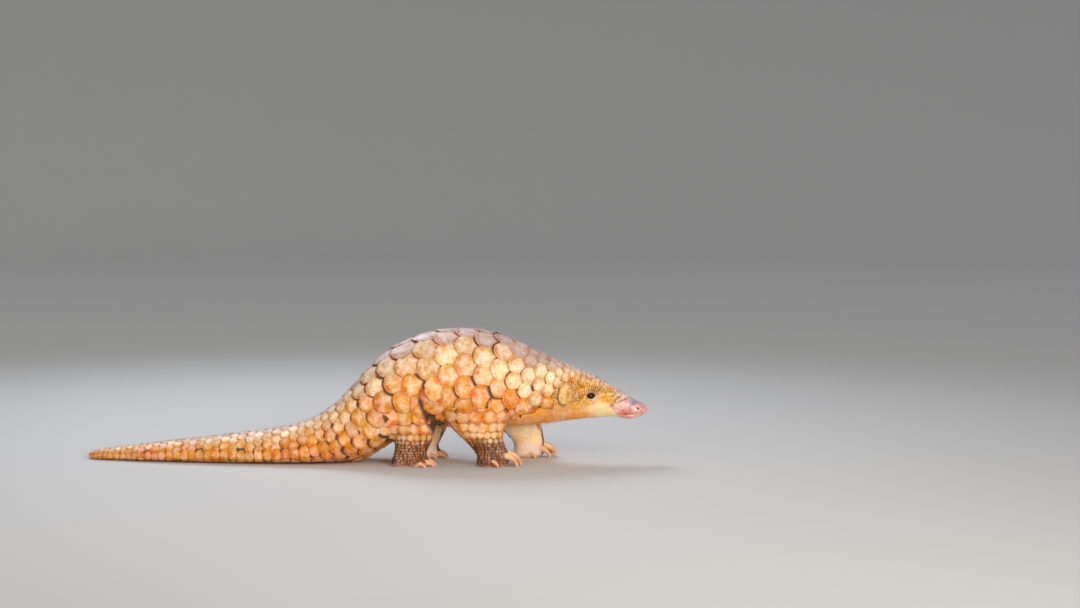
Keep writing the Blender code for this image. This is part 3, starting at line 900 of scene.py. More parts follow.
FACE_MARKS_AND_PAINTED_LIGHT = (  # how far behind the nose, height, reach along and up, turn, colour and strength
    # painted highlight on the wet nose pad
    (0.0215, 0.0905, 0.0085, 0.0075, -20, (0.95, 0.8, 0.79), 0.95),
    # the next two, mauve: painted reflections of a blue sky on the nose
    (0.025, 0.1, 0.012, 0.0044, -28, (0.34, 0.24, 0.42), 0.9),
    (0.0085, 0.0935, 0.006, 0.003, -35, (0.4, 0.26, 0.36), 0.75),
    (0.031, 0.0932, 0.003, 0.0022, 20, (0.24, 0.1, 0.1), 0.8),
    (0.0205, 0.085, 0.0026, 0.0018, 0, (0.38, 0.14, 0.12), 0.7),
    (0.012, 0.086, 0.004, 0.0026, 30, (0.55, 0.2, 0.17), 0.7),
    (0.0365, 0.0826, 0.008, 0.0038, 10, (0.44, 0.09, 0.08), 1.1),
    (0.044, 0.0875, 0.0065, 0.0034, -25, (0.48, 0.11, 0.08), 1.00),
    (0.034, 0.0995, 0.006, 0.003, -20, (0.95, 0.66, 0.66), 0.8),
    # painted highlight along the lower lip
    (0.027, 0.079, 0.01, 0.0022, 6, (0.96, 0.76, 0.74), 0.8),
    (0.043, 0.1064, 0.012, 0.003, -18, (0.17, 0.06, 0.04), 1.1),
    (0.05, 0.111, 0.008, 0.0032, -34, (0.22, 0.09, 0.04), 1.00),
    (0.055, 0.105, 0.0042, 0.0048, -10, (0.24, 0.1, 0.03), 1.1),
    (0.062, 0.0985, 0.0055, 0.0042, -10, (0.28, 0.12, 0.03), 1.00),
    (0.06, 0.1145, 0.008, 0.0028, -28, (0.26, 0.13, 0.1), 0.9),
    (0.068, 0.106, 0.004, 0.0028, 15, (0.34, 0.16, 0.04), 0.8),
    (0.074, 0.1125, 0.005, 0.0022, -20, (0.32, 0.15, 0.05), 0.75),
)


def with_blotches_and_painted_light(colour, points, fine, grit):
    """The blotches of both sides of the face with their painted highlights and painted sky reflections,
    and the spots round the nostrils.
    """
    for side in (-1, 1):
        one_side = between(side * points[:, 1], -0.001, 0.003)
        for mark_behind, mark_height, long, high, turn, mark_colour, strength in FACE_MARKS_AND_PAINTED_LIGHT:
            middle = (ahead(mark_behind), 0, mark_height)
            mark = bump(points, middle, (long, 1.0, high), math.radians(-turn)) * one_side
            colour = blend_to(colour, mark_colour, mark * strength * (1 + 0.9 * grit + 0.7 * fine))
        pit = side_at(*NOSTRIL, side)
        spots = between(fine + grit, 0.24, 0.45) * bump(points, pit, (0.012, 0.012, 0.01))
        dark = bump(points, pit, (0.0036, 0.006, 0.0022), math.radians(NOSTRIL_TURN))
        colour = layered(colour, (NOSE_SPOTS, 0.8 * spots), (NOSTRIL_DARK, 1.4 * dark))
    return colour


print(len(FACE_MARKS_AND_PAINTED_LIGHT), "blotches on each side of the face")

# %% [markdown]
# The bare skin is painted from the large to the small: the grounds of cheek, throat and belly, the
# muzzle with its ragged border and a painted sky reflection on the top of the nose, then the
# blotches with their painted highlights and reflections, the rims of the eyes, the ears with
# painted shade in the groove behind them, and the paws.

# %% Colour of the bare skin
def face_colour(points, on_leg, patch, fine, grit):
    """The grounds of the cheek, throat and belly, and the muzzle, with a painted reflection of a blue sky
    on the top of the nose.
    """
    distance, height = behind(points[:, 0]), points[:, 2]
    angles = around_body(points)[1]
    cheek = between(distance, 0.05, 0.07) * (1 - between(distance, 0.115, 0.14))
    throat = between(angles, 98, 122) * between(distance, 0.08, 0.13)
    jaw_line = 0.087 + 0.2 * (distance - 0.097)
    jaw = (1 - between(height - jaw_line, -0.004, 0.007)) * between(distance, 0.084, 0.112)
    throat = np.maximum(throat, jaw * (distance < 0.3))
    belly = between(distance, 0.24, 0.32) * (1 - on_leg)
    border = np.interp(height, (0.076, 0.084, 0.095, 0.106, 0.118), (0.046, 0.052, 0.063, 0.05, 0.03))
    ragged = distance + 0.006 * patch + 0.003 * fine
    muzzle = 1 - between(ragged, border - 0.004, border + 0.004)
    blush = bump(points, (ahead(0.03), 0, 0.088), (0.016, 1.0, 0.01)) * muzzle
    lips = muzzle * (1 - between(np.abs(height - 0.0815), 0.0015, 0.0045))
    lips *= between(distance, 0.018, 0.03)
    nose_top_reflection = (1 - between(distance, 0.026, 0.044)) * between(height, 0.094, 0.102)
    bridge = between(distance, 0.026, 0.04) * (1 - between(distance, 0.066, 0.086))
    bridge *= 1 - between(angles, 34, 52)
    return layered(
        CREAM,
        (HONEY, 0.75 * cheek * between(angles, 70, 95)),
        (TANGERINE, throat * (0.9 + 0.25 * patch + 0.2 * fine)),
        (PEACH, belly * 0.7),
        (GOLD, freckle_share(points) * (0.85 + 0.4 * patch + 0.4 * fine)),
        (FLESH_PINK, muzzle * (0.88 + 0.3 * fine)),
        (PALE_PINK, muzzle * 1.6 * np.maximum(0, grit + 0.5 * fine)),
        (ROSE, blush * (0.35 + 1.3 * np.abs(patch) + 0.6 * fine)),
        (ROSE, 0.8 * lips),
        # mauve on the top of the nose: a painted reflection of a blue sky
        (SKY_REFLECTION_MAUVE, nose_top_reflection * (0.8 + 0.6 * patch)),
        # the bridge of the nose: pale grey, partly painted cool skylight on its top
        (BRIDGE_GREY_AND_SKYLIGHT, bridge * (0.9 + 0.8 * fine)),
    )


def with_eyes_and_ears(colour, points, patch, fine):
    """The rims and shadows of the eyes, and the lobes and hollows of the ears with painted shade in the
    groove behind and under each.
    """
    for ball in EYE_BALL.values():
        reach = np.linalg.norm(points - np.array(ball), axis=1)
        below = 1 - between(points[:, 2] - ball.z, -0.001, 0.003)
        colour = layered(
            colour,
            (LID_PINK, 0.7 * below * (1 - between(reach, 0.0086, 0.0104))),
            (LID_BROWN, 0.7 * ((1 - below) * (1 - between(reach, 0.0095, 0.0135)))),
            (LID_RIM, 0.9 * (1 - between(reach, 0.0074, 0.0083))),
        )
    for middle in EARS:
        forward, up, ring = ear_ring(points, np.array(middle))
        opening = np.exp(-(((forward - 0.55) / 0.3) ** 2 + ((up - 0.05) / 0.55) ** 2))
        outline = bell(ring, 1.12, 0.08) * (1 - between(up, 0.1, 0.8))
        outline *= 1 - between(forward, -0.1, 0.7)
        colour = layered(
            colour,
            (PALE_GOLD, (1 - between(ring, 0.85, 1.15)) * (0.85 + 0.5 * patch)),
            (EAR_HOLLOW, 0.95 * opening),
            # painted shade in the groove behind and under the ear
            (EAR_GROOVE_SHADE, outline * (0.75 + 1.2 * fine)),
        )
    return colour


def bare_colour(points, normals):
    """The colour of the bare skin, which the small scales of the head have too."""
    height = points[:, 2]
    on_leg, outer = leg_fields(points, normals)
    patch, fine, grit = mottle(points, 40), mottle(points, 130), mottle(points, 330)
    colour = face_colour(points, on_leg, patch, fine, grit)
    colour = with_blotches_and_painted_light(colour, points, fine, grit)
    colour = with_eyes_and_ears(colour, points, patch, fine)
    paw = (1 - between(height, 0.02, 0.034)) * (on_leg > 0.5)
    outer_paw = paw * outer * (1 - between(height, 0.008, 0.014))
    sole = (1 - between(height, 0.001, 0.004)) * (on_leg > 0.5)
    return layered(
        colour,
        (PALE_HONEY, 0.95 * (on_leg * (1 - outer))),
        (PALE_PAW, paw),
        (PAW_BROWN, outer_paw * (0.6 + 0.6 * fine + 0.4 * patch)),
        (TOE_RED, near_toe(points) * (0.9 + 0.5 * fine + 0.4 * patch)),
        (PALE_SOLE, 0.8 * sole),
        (ROSE, 0.35 * sole),
    )


def skin_colour(points, normals):
    """The colour of the skin: bare, or under the coat painted nearly black as shade."""
    under_coat = scaled_share(points, normals)
    # Where the coat covers the skin, and round the thighs, it is painted nearly black: painted shade in
    # the cracks between scales.
    covered = between(under_coat, 0.75, 0.98)
    at_thigh = (behind(points[:, 0]) > 0.4) & (points[:, 2] > 0.03)
    covered = np.maximum(covered, between(under_coat, 0.2, 0.5) * at_thigh)
    return blend_to(bare_colour(points, normals), UNDER_COAT_SHADE, 0.95 * covered)

# %% [markdown]
# Paint and freckles go onto the skin as attributes of its vertices. Under the coat the skin is
# painted nearly black, as painted shade, so that the cracks between scales look deep.

# %% Paint the skin
def paint(piece, colours):
    """Stores one colour for each vertex of a piece."""
    layer = piece.data.attributes.new("paint", "FLOAT_COLOR", "POINT")
    with_alpha = np.column_stack([colours, np.ones(len(colours))])
    layer.data.foreach_set("color", with_alpha.astype(np.float32).ravel())


def store(mesh, name, values):
    """Stores one number for each vertex of a mesh, for its material to read."""
    layer = mesh.attributes.new(name, "FLOAT", "POINT")
    layer.data.foreach_set("value", np.asarray(values, np.float32))


points = places_of(skin.data)
paint(skin, skin_colour(points, normals_of(skin.data)))
store(skin.data, "freckled", freckle_share(points))
print("painted", len(points), "places of the skin")

# %% [markdown]
# ## One scale
#
# A scale is a plate of horn shaped like a shield: narrow where it grows from the skin, with
# nearly parallel sides, a free edge between an arch and a gable, a low crown along its middle and
# a thin rim. Two fifths of it, at its base, lie hidden under the rows ahead of it.
#
# It could be cut from a sheet with a Boolean, but a grid bent into the outline has its rows where
# they are wanted. The last is a narrow band along the free edge, so that the plate stays flat and
# only its rim turns down. A plate has only 86 faces, as there are eighteen hundred of them.

# %% One scale
SCALE_COLUMNS = 10
SCALE_BANDS = (0.0, 0.48, 0.95, 1.0)  # from the base to the free edge
SHOULDER = 0.74  # where the free edge starts, as a share of the length
ARCH = (2.1, 0.78)  # 2 and 0.5 are half an ellipse, 1 and 1 a gable
BASE_WIDTH = 0.72
plate = bmesh.new()
bmesh.ops.create_grid(plate, x_segments=SCALE_COLUMNS, y_segments=len(SCALE_BANDS) - 1, size=0.5)
to_edge = plate.verts.layers.float.new("to edge")
for vertex in plate.verts:
    across = math.copysign(abs(2 * vertex.co.x) ** 0.92, vertex.co.x)
    share = SCALE_BANDS[round((vertex.co.y + 0.5) * (len(SCALE_BANDS) - 1))]
    ends = SHOULDER + (1 - SHOULDER) * (1 - abs(across) ** ARCH[0]) ** ARCH[1]
    narrowing = BASE_WIDTH + (1 - BASE_WIDTH) * min(1.0, share / 0.7)
    vertex[to_edge] = share
    vertex.co = (across * narrowing, share * ends, 0)
bmesh.ops.solidify(plate, geom=plate.faces, thickness=1.0)
plate.verts.index_update()
scale_across, scale_along, scale_side = np.array([v.co for v in plate.verts]).T
scale_share = np.array([v[to_edge] for v in plate.verts])
scale_is_top = scale_side > -0.5
scale_faces = np.array([[v.index for v in face.verts] for face in plate.faces])
plate.free()
print("one scale:", len(scale_faces), "faces,", len(scale_across), "vertices")

# %% [markdown]
# ## Where the scales lie
#
# Scales grow in rows across the body, each half a scale to the side of the one before it, so that
# every joint is covered. A column keeps its number all the way from the crown to the tail, and
# only the distance between columns changes, with the girth. Two curves hold the whole pattern,
# the width of a scale and the gap from row to row, both measured along the skin.
#
# Points scattered at random would be shorter to write, but such a coat looks like roof damage. A
# few per cent of chance in place, turn and size is enough.

# %% Rows across the body
SHOWS_AT = 0.62  # the share of a scale's length that is laid at its place
LENGTH_IN_ROWS = 1.7  # a scale's whole length, in gaps between rows
WIDTH_IN_COLUMNS = 1.16
SCALE_SIZES = (  # how far behind the nose, the width of a scale, and the gap to the next row
    (0.046, 0.0042, 0.0036), (0.06, 0.0058, 0.005), (0.08, 0.0078, 0.0067),
    (0.105, 0.0105, 0.0086), (0.13, 0.0135, 0.0102), (0.15, 0.017, 0.0126),
    (0.175, 0.0225, 0.018), (0.2, 0.026, 0.022), (0.255, 0.033, 0.0272),
    (0.3, 0.037, 0.029), (0.4, 0.0375, 0.029), (0.45, 0.0335, 0.0255),
    (0.5, 0.026, 0.0195), (0.54, 0.0205, 0.0165), (0.6, 0.018, 0.015),
    (0.7, 0.017, 0.0145), (0.84, 0.014, 0.0125), (0.966, 0.009, 0.0085),
)
scale_width = along_body(*[(distance, width) for distance, width, _ in SCALE_SIZES])
row_gap = along_body(*[(distance, gap) for distance, _, gap in SCALE_SIZES])
print("scales of the back:", float(scale_width(0.35)), "m wide, rows", float(row_gap(0.35)), "m apart")

# %% [markdown]
# A ray from the middle line, at an angle from the ridge, meets the skin where a scale may sit. The
# same ray one row further back says which way the scale points, so the rows follow the body round
# every bend. The rays that go into the air are left out.

# %% One scale's place
skin_surface = tree_of(skin)
chance = random.Random(7)
seeded = np.random.default_rng(11)


def distance_at(length):
    """How far behind the nose the middle line is at this length of it."""
    return float(np.interp(length, line_length, line_behind))


def length_at(distance):
    """How long the middle line is down to this distance behind the nose."""
    return float(np.interp(distance, line_behind, line_length))


def turned(place, angle):
    """Turns a scale about the way out of the skin."""
    place["back"].rotate(Matrix.Rotation(angle, 3, place["normal"]))


def resized(place, size):
    """Makes a scale larger or smaller."""
    place["width"] *= size
    place["length"] *= size


def ring_at(length):
    """Where the middle line is at this length: its place, and the ways back, up and left."""
    columns = (line, line_back, line_up, line_left)
    return [Vector([np.interp(length, line_length, c[:, k]) for k in range(3)]) for c in columns]


def outward(ring, degrees, side):
    """The way out from the middle line at an angle from the ridge."""
    turn = math.radians(degrees)
    return ring[2] * math.cos(turn) + ring[3] * (math.sin(turn) * side)


def along_skin(start, way_at, turns, is_end):
    """Angles at which rays meet the skin, and how long the skin is from the first to each."""
    angles, lengths, previous = [], [], None
    for degrees in turns:
        hit = skin_surface.ray_cast(start, way_at(degrees))[0]
        if is_end(hit):
            break
        if hit is not None:
            lengths.append(lengths[-1] + (hit - previous).length if lengths else 0.0)
            angles.append(degrees)
            previous = hit
    return angles, lengths


def half_ring(ring, side, first, last):
    """The same from a first to a last angle from the ridge, on one side of the body."""
    turns = np.linspace(first, last, 40)
    return along_skin(ring[0], lambda degrees: outward(ring, degrees, side), turns, lambda hit: False)


def place_on(ray, ray_behind, width, gap, unwrap):
    """A scale's place where a ray leaves the skin. It points to where the next row's ray does."""
    hit, normal, _, _ = skin_surface.ray_cast(*ray)
    behind_it = skin_surface.ray_cast(*ray_behind)[0]
    if hit is None or behind_it is None:
        return None
    if normal.dot(ray[1]) < 0:
        normal = -normal
    back = behind_it - hit
    gap = min(max(back.length, 0.9 * gap), 1.45 * gap)
    back = (back - normal * back.dot(normal)).normalized()
    back.rotate(Matrix.Rotation(math.radians(chance.uniform(-4, 4)), 3, normal))  # a little chance
    size = chance.uniform(0.95, 1.06)
    hit = hit + back * (gap * chance.uniform(-0.06, 0.06))
    return {
        "at": hit, "back": back, "normal": normal, "unwrap": unwrap,
        "width": width * WIDTH_IN_COLUMNS * size, "length": gap * LENGTH_IN_ROWS * size,
        "pitch": (gap, width), "lift": chance.uniform(0.9, 1.2),
    }

# %% [markdown]
# Two places need rules of their own. Over the legs the trunk's rows stop at an arch, below which
# the leg has its own rings. And behind each foreleg a living pangolin's coat opens in a deep dark
# crease: the shoulder's scales end just over it, a little lifted and stiff, and don't close it. The
# shade in the crease is also painted onto the flank's scales.

# %% Where the legs' rings begin, and the crease
LEG_TOPS = {"foreleg": 0.118, "hindleg": 0.1}  # the height at which a leg's own rings start
CREASE_OVERHANG = 0.004  # how far the shoulder's scales stand over the crease behind them


def ahead_of_leg(name, spot):
    """How far a place lies ahead of the middle of a leg."""
    return spot[0] - leg_middle(name, min(spot[2], 0.11))[0]


def below_arch(name, spot):
    """How far a place lies below the arch in which the rings of a leg begin."""
    ahead_by = ahead_of_leg(name, spot)
    drop = 0.045 * (ahead_by / 0.075) ** 2 if ahead_by > 0 else 0.02 * (ahead_by / 0.08) ** 2
    return LEG_TOPS[name.split("_")[0]] - drop - spot[2]


def on_rings(name, spot, margin=0.0):
    """Whether a place belongs to the rings of a leg, or lies in a margin above them."""
    if spot[1] * leg_side(name) < 0.012 or below_arch(name, spot) < -margin:
        return False
    if name.startswith("foreleg"):
        return ahead_of_leg(name, spot) < 0.056 and past_shoulder(name, np.array([spot]))[0] < 0.002
    return -0.046 < ahead_of_leg(name, spot) < 0.034


def kept_at_crease(place):
    """Draws a scale of the shoulder forward, to end just over the crease, and lifts it a little."""
    for name in ("foreleg_right", "foreleg_left"):
        spot = place["at"]
        if spot.y * leg_side(name) < 0.03 or not 0.045 < spot.z < 0.132:
            continue
        past = past_shoulder(name, np.array([spot]))[0]
        tip = spot + place["back"] * (place["length"] * (1 - SHOWS_AT))
        excess = past_shoulder(name, np.array([tip]))[0] - CREASE_OVERHANG
        if past < 0.001:
            at_edge = float(between(past, -0.036, -0.012))
            place["sinks"] = place.get("sinks", 0.0) - 0.001 * at_edge
            place["stiff"] = 0.8 * at_edge
        if past < 0.001 and excess > 0:
            place["at"] = skin_surface.find_nearest(spot - place["back"] * min(excess, 0.016))[0]
    return place


print("the crease lies at X", round(past_shoulder("foreleg_right", np.array([[0, 0, 0.1]]))[0], 3))

# %% [markdown]
# The tail is flat below and has a sharp margin on each side, with one scale folded over it in
# every row. The rows above and below start beside that scale.

# %% Rows of the body and tail
CROWN_STARTS = 0.046
TAIL_ROUND = 0.535  # from here back the scales go all the way round
UNWRAP_SIDE = 0.3  # the half girth that the unwrap has room for
ARCH_BORDER = 0.03  # how far from a leg's arch the trunk's scales stand off more


def margin_angle(ring, side):
    """The angle at which the tail is widest."""
    best, widest = 90, 0
    for degrees in range(60, 121, 5):
        hit = skin_surface.ray_cast(ring[0], outward(ring, degrees, side))[0]
        if hit is not None and abs((hit - ring[0]).dot(ring[3])) > widest:
            widest = abs((hit - ring[0]).dot(ring[3]))
            best = degrees
    return best


def row_of_scales(length, number, width, gap, stretches):
    """The places of one row. A stretch is a side, its first and last angle and its unwrap."""
    distance = distance_at(length)
    ring, next_ring = ring_at(length), ring_at(length + gap)
    found = []
    for side, first, last, offset in stretches:
        angles, lengths = half_ring(ring, side, first, last)
        across = 0.0 if number % 2 == 0 else 0.5 * width
        while across <= lengths[-1]:
            degrees = float(np.interp(across, lengths, angles))
            rays = [(at[0], outward(at, degrees, side)) for at in (ring, next_ring)]
            place = place_on(*rays, width, gap, (length, side * abs(offset - across)))
            if place and not (across == 0 and side == 1 and first == 0):
                place["angle"], place["behind"] = degrees, distance
                place["fringe"] = 1 - float(between(lengths[-1] - across, 0.3 * width, 1.3 * width))
                found.append(place)
            across += width
    return found


def row_of_body(length, number):
    """One row from edge to edge of the coat, or all the way round the tail."""
    distance = distance_at(length)
    width, gap = float(scale_width(distance)), float(row_gap(distance))
    if distance <= TAIL_ROUND:
        edge = float(coat_edge(distance))
        return row_of_scales(length, number, width, gap, [(-1, 0, edge, 0), (1, 0, edge, 0)])
    found = []
    for side in (-1, 1):
        ring, next_ring = ring_at(length), ring_at(length + gap)
        limit = margin_angle(ring, side)
        room = half_ring(ring, side, 0, limit)[1][-1]
        short = limit * (1 - 0.3 * width / room)
        under = 180 - (180 - limit) * (1 - 0.3 * width / room)
        stretches = [(side, 0, short, 0), (side, 180, under, UNWRAP_SIDE)]
        found += row_of_scales(length, number, width, gap, stretches)
        rays = [(at[0], outward(at, limit, side)) for at in (ring, next_ring)]
        margin = place_on(*rays, width * 1.15, gap * 1.1, (length, side * (room + 0.5 * width)))
        margin["angle"], margin["behind"] = limit, distance
        found.append(margin)
    for place in found:
        place["fringe"] = 0.0
    return found


body_places, number = [], 0
length = length_at(CROWN_STARTS)
while length < line_length[-1] - LINE_STEP:
    body_places += row_of_body(length, number)
    length += float(row_gap(distance_at(length)))
    number += 1
body_places = [p for p in body_places if not any(on_rings(name, p["at"], -0.004) for name in LEG_LINES)]
for place in body_places:
    depth = max(below_arch(name, place["at"]) for name in LEG_LINES)
    if abs(depth) < ARCH_BORDER and place["behind"] < TAIL_STARTS:
        place["lift"] *= 1.0 + 0.5 * (1 - abs(depth) / ARCH_BORDER)
    # root: how far the dark band at a scale's base reaches, dirt and painted shade under the row in front,
    # wider low on the flank
    place["root"] = 0.02 + 0.12 * float(between(place["angle"], 90, 130)) * (place["behind"] > 0.2)
    kept_at_crease(place)
print(number, "rows,", len(body_places), "scales on the body")

# %% [markdown]
# On the temples, between eye and ear, the coat goes on as a fine mail of scales no wider than four
# millimetres, in short rows of its own that leave room for the ear and the lids. Towards its lower
# border they get smaller and flatter and more of them are missing, so it fades into the freckles.

# %% Scales of the temples
TEMPLE = (0.062, 0.16)  # behind the nose
TEMPLE_WIDTH, TEMPLE_GAP = 0.004, 0.0034
temple_edge = along_body(
    (0.062, 56), (0.078, 68), (0.09, 84), (0.105, 104), (0.125, 116), (0.158, 118)
)


def leaves_room(spot):
    """Whether a place is clear of the ears and the lids."""
    at_ear = min(math.hypot((spot.x - ear.x) / 0.0115, (spot.z - ear.z) / 0.0185) for ear in EARS)
    eyes = EYE_BALL.values()
    at_eye = min(math.hypot((spot.x - eye.x) / 0.0125, (spot.z - eye.z) / 0.0105) for eye in eyes)
    return at_ear > 1 and at_eye > 1


temple_places, number = [], 0
length, last_length = (length_at(distance) for distance in TEMPLE)
while length < last_length:
    distance = distance_at(length)
    first, last = min(60, float(coat_edge(distance)) - 9), float(temple_edge(distance))
    stretches = [(side, first, last, 0) for side in (-1, 1)]
    temple_places += row_of_scales(length, number, TEMPLE_WIDTH, TEMPLE_GAP, stretches)
    length += TEMPLE_GAP
    number += 1
temple_places = [p for p in temple_places if leaves_room(p["at"])]
for place in temple_places:
    low = place["angle"] - float(temple_edge(place["behind"]))
    fading = float(between(low, -26, 0))
    resized(place, chance.uniform(0.78, 1.15) * (1 - 0.35 * fading))
    place["lift"] *= chance.uniform(0.9, 1.5) * (1 - 0.6 * fading)
    turned(place, chance.uniform(-0.2, 0.2))
    place["leaves out"] = chance.random() < 0.45 * fading**2
    along, girth = place["unwrap"]
    place["unwrap"] = (along, girth + math.copysign(0.04, girth))
    place["root"] = 0.16
temple_places = [p for p in temple_places if not p["leaves out"]]
print(len(temple_places), "scales on the temples")

# %% [markdown]
# The legs carry smaller scales in rings round the shin, with their free edges down and back. They
# are laid like the rows of the body, with rays from the middle of the leg. Down the leg the scales
# get small, brown and pointed, and more chance hides the rings. The toes stay bare at the claws.

# %% Rings round the legs
LEG_BOTTOM = 0.005
RING_MARGIN = 0.013  # how far the rings go up under the trunk's scales
RING_HEIGHTS = (0.006, 0.02, 0.034, 0.042, 0.05, 0.06, 0.072, 0.087, 0.104, 0.122)
RING_WIDTHS = (0.005, 0.0054, 0.0064, 0.0082, 0.0106, 0.014, 0.018, 0.023, 0.0275, 0.031)
RING_GAPS = (0.004, 0.0043, 0.0051, 0.0065, 0.0084, 0.0109, 0.014, 0.0178, 0.0212, 0.024)
HIND_SIZE = 0.22  # how much wider the scales at the top of a hind leg are
RING_REACH = {1: (118, 84), -1: (100, 84)}  # degrees from outwards to ahead and behind, low and high


def ring_sizes(name, height):
    """The width of a ring's scales, and the gap to the next ring."""
    more = 1 + HIND_SIZE * float(between(height, 0.04, 0.08)) * name.startswith("hind")
    return [more * float(np.interp(height, RING_HEIGHTS, sizes)) for sizes in (RING_WIDTHS, RING_GAPS)]


def way_round(turn, sense, side):
    """The way out from the middle of a leg: outwards, and turned ahead or back by a sense."""
    return Vector((math.sin(turn) * sense, math.cos(turn) * side, 0))


def part_ring(name, middle, sense, limit):
    """Angles from outwards round to a limit, and how long the skin is to each of them."""

    def is_end(hit):
        if hit is None or (hit - middle).length > 0.095:
            return True
        return middle.z > 0.066 and not on_rings(name, hit, RING_MARGIN)

    def way_at(degrees):
        return way_round(math.radians(degrees), sense, leg_side(name))

    return along_skin(middle, way_at, np.linspace(0, limit, 60), is_end)


def as_on_leg(name, place, low):
    """Gives a scale what it has on a leg: more chance, and low down a point and a brown root."""
    place["length"] *= 1.1
    resized(place, 1 + low * chance.uniform(-0.16, 0.16))
    turned(place, (0.2 + low) * chance.uniform(-0.32, 0.32))
    place["lift"] *= chance.uniform(1.0, 1.2 + 1.2 * low)
    place["width"] *= 1 - 0.1 * low
    place.update(root=0.02 + 0.34 * low, taper=0.5 * low, fringe=0.8 * (1 - low))
    place["sinks"] = 0.0009 * (1 - float(between(below_arch(name, place["at"]), -0.008, 0.022)))
    return kept_at_crease(place) if name.startswith("fore") else place


def ring_of_leg(name, height, number):
    """The places of one ring of scales round a leg."""
    side = leg_side(name)
    width, gap = ring_sizes(name, height)
    middle, next_middle = (Vector((*leg_middle(name, z), z)) for z in (height, height - gap))
    lean = math.radians(np.interp(height, (0.02, 0.06, 0.11), (0, 26, 62)))
    down = Vector((-math.sin(lean), 0, 0))
    low = 1 - float(between(height, 0.03, 0.06))
    found = []
    for sense, reach in RING_REACH.items():
        angles, lengths = part_ring(name, middle, sense, np.interp(height, (0.05, 0.09), reach))
        across = 0.0 if number % 2 == 0 else 0.5 * width
        while lengths and across <= lengths[-1]:
            if not (across == 0 and sense == -1):
                spot = across + width * (0.06 + low) * chance.uniform(-0.24, 0.24)
                turn = math.radians(np.interp(spot, lengths, angles))
                way = way_round(turn, sense, side)
                next_ray = (next_middle, way + down * (0.2 * math.cos(turn)))
                place = place_on((middle, way), next_ray, width, gap, (height, sense * across))
                if place and near_toe(np.array([place["at"]]))[0] < 0.5:
                    found.append(as_on_leg(name, place, low))
            across += width
    return found


leg_places = []
for name in LEG_LINES:
    height, number = LEG_TOPS[name.split("_")[0]] + RING_MARGIN, 0
    while height > LEG_BOTTOM:
        leg_places += ring_of_leg(name, height, number)
        height -= ring_sizes(name, height)[1]
        number += 1
print(len(leg_places), "scales on the legs")

# %% [markdown]
# Where a leg's rings meet the rows of the trunk, and in the crease behind the shoulder, holes are
# left. They are found by asking every place of the scaled skin whether a scale lies over it, and
# each one is closed with a smaller scale that goes in under its neighbours.

# %% Scales in the gaps
def unwrap_of(points):
    """The place of points on the unwrapped skin: length along the body, and girth."""
    nearest, angles = around_body(points)
    side = np.sign(points[:, 1] - middle_side(behind(points[:, 0])))
    return np.column_stack([line_length[nearest], side * angles / 180 * UNWRAP_SIDE])


def is_under(place, spots):
    """Which spots lie under the well covered part of a scale."""
    offset = spots - np.array(place["at"])
    along = offset @ np.array(place["back"]) / place["length"]
    across = offset @ np.array(place["normal"].cross(place["back"])) / place["width"]
    out = offset @ np.array(place["normal"]) / place["width"]
    return (along > -0.5) & (along < 0.27) & (np.abs(across) < 0.44) & (np.abs(out) < 0.6)


def cover(place, middle, reach):
    """Ticks off the spots within a reach that lie under a scale."""
    near = np.flatnonzero(np.abs(spots - middle).max(axis=1) < reach)
    bare[near[is_under(place, spots[near])]] = False


HOLE = 0.0055  # how far apart bare spots may be to count as one hole
laid = body_places + leg_places
spots, spot_outs = triples(skin.data.polygons, "center"), triples(skin.data.polygons, "normal")
far_back = behind(spots[:, 0])
wanted = (far_back > 0.19) & (far_back < 0.56) & (spots[:, 2] > np.where(far_back > 0.4, 0.016, 0.036))
spots, spot_outs = spots[wanted], spot_outs[wanted]
wanted = scaled_share(spots, spot_outs) > 0.8
spots, spot_outs = spots[wanted], spot_outs[wanted]
bare = np.ones(len(spots), bool)
neighbours = kdtree.KDTree(len(laid))
for k, place in enumerate(laid):
    neighbours.insert(place["at"], k)
    cover(place, np.array(place["at"]), 0.9 * place["length"])
neighbours.balance()
holes = kdtree.KDTree(int(bare.sum()))
for k in np.flatnonzero(bare):
    holes.insert(spots[k], int(k))
holes.balance()
in_hole = [(len(holes.find_range(spots[k], HOLE)), int(k)) for k in np.flatnonzero(bare)]
gap_places = []
for depth, k in sorted(in_hole, reverse=True):
    if depth < 4 or not bare[k]:
        continue
    around = [laid[i] for _, i, _ in neighbours.find_n(spots[k], 4)]
    normal = Vector(spot_outs[k])
    back = sum((place["back"] for place in around), Vector())
    back = (back - normal * back.dot(normal)).normalized()
    width = 0.8 * sum(place["width"] for place in around) / 4
    length = 0.8 * sum(place["length"] for place in around) / 4
    root = unwrap_of(spots[k][None])[0]
    place = {
        "at": Vector(spots[k]) + back * (0.06 * length), "back": back, "normal": normal,
        "unwrap": tuple(root), "width": width, "length": length, "sinks": 0.0004,
        "pitch": (0.4 * length, 0.6 * width), "lift": 0.9, "root": 0.06, "fills": True,
    }
    gap_places.append(place)
    cover(place, spots[k], length)
print(len(gap_places), "scales in the gaps")

# %% [markdown]
# ## Laying the scales
#
# Each copy of the plate is bent to the skin: every vertex goes to the nearest point of the skin
# and then out from it by a height that rises from the base to the free edge. So a scale never
# cuts into the body, however tightly that curves, and its free edge just clears the next row.
#
# Each piece of the coat has a second map, OFBake: the skin's own surface rolled out flat, length
# along the body one way and girth the other. A scale keeps a small patch of it, at its root's place,
# to itself.

# %% Lay the scales
THINNEST, THICKENING = 0.0003, 0.017  # a scale's thickness, and how it grows with its width
WORN = 0.016  # how far the free edge is chipped, as a share of the length
PATCH = 0.8  # of a scale's share of the unwrap
TOP_PATCH, UNDER_PATCH = (-0.14, 0.32), (0.36, 0.1)  # middle and half width, as shares of it


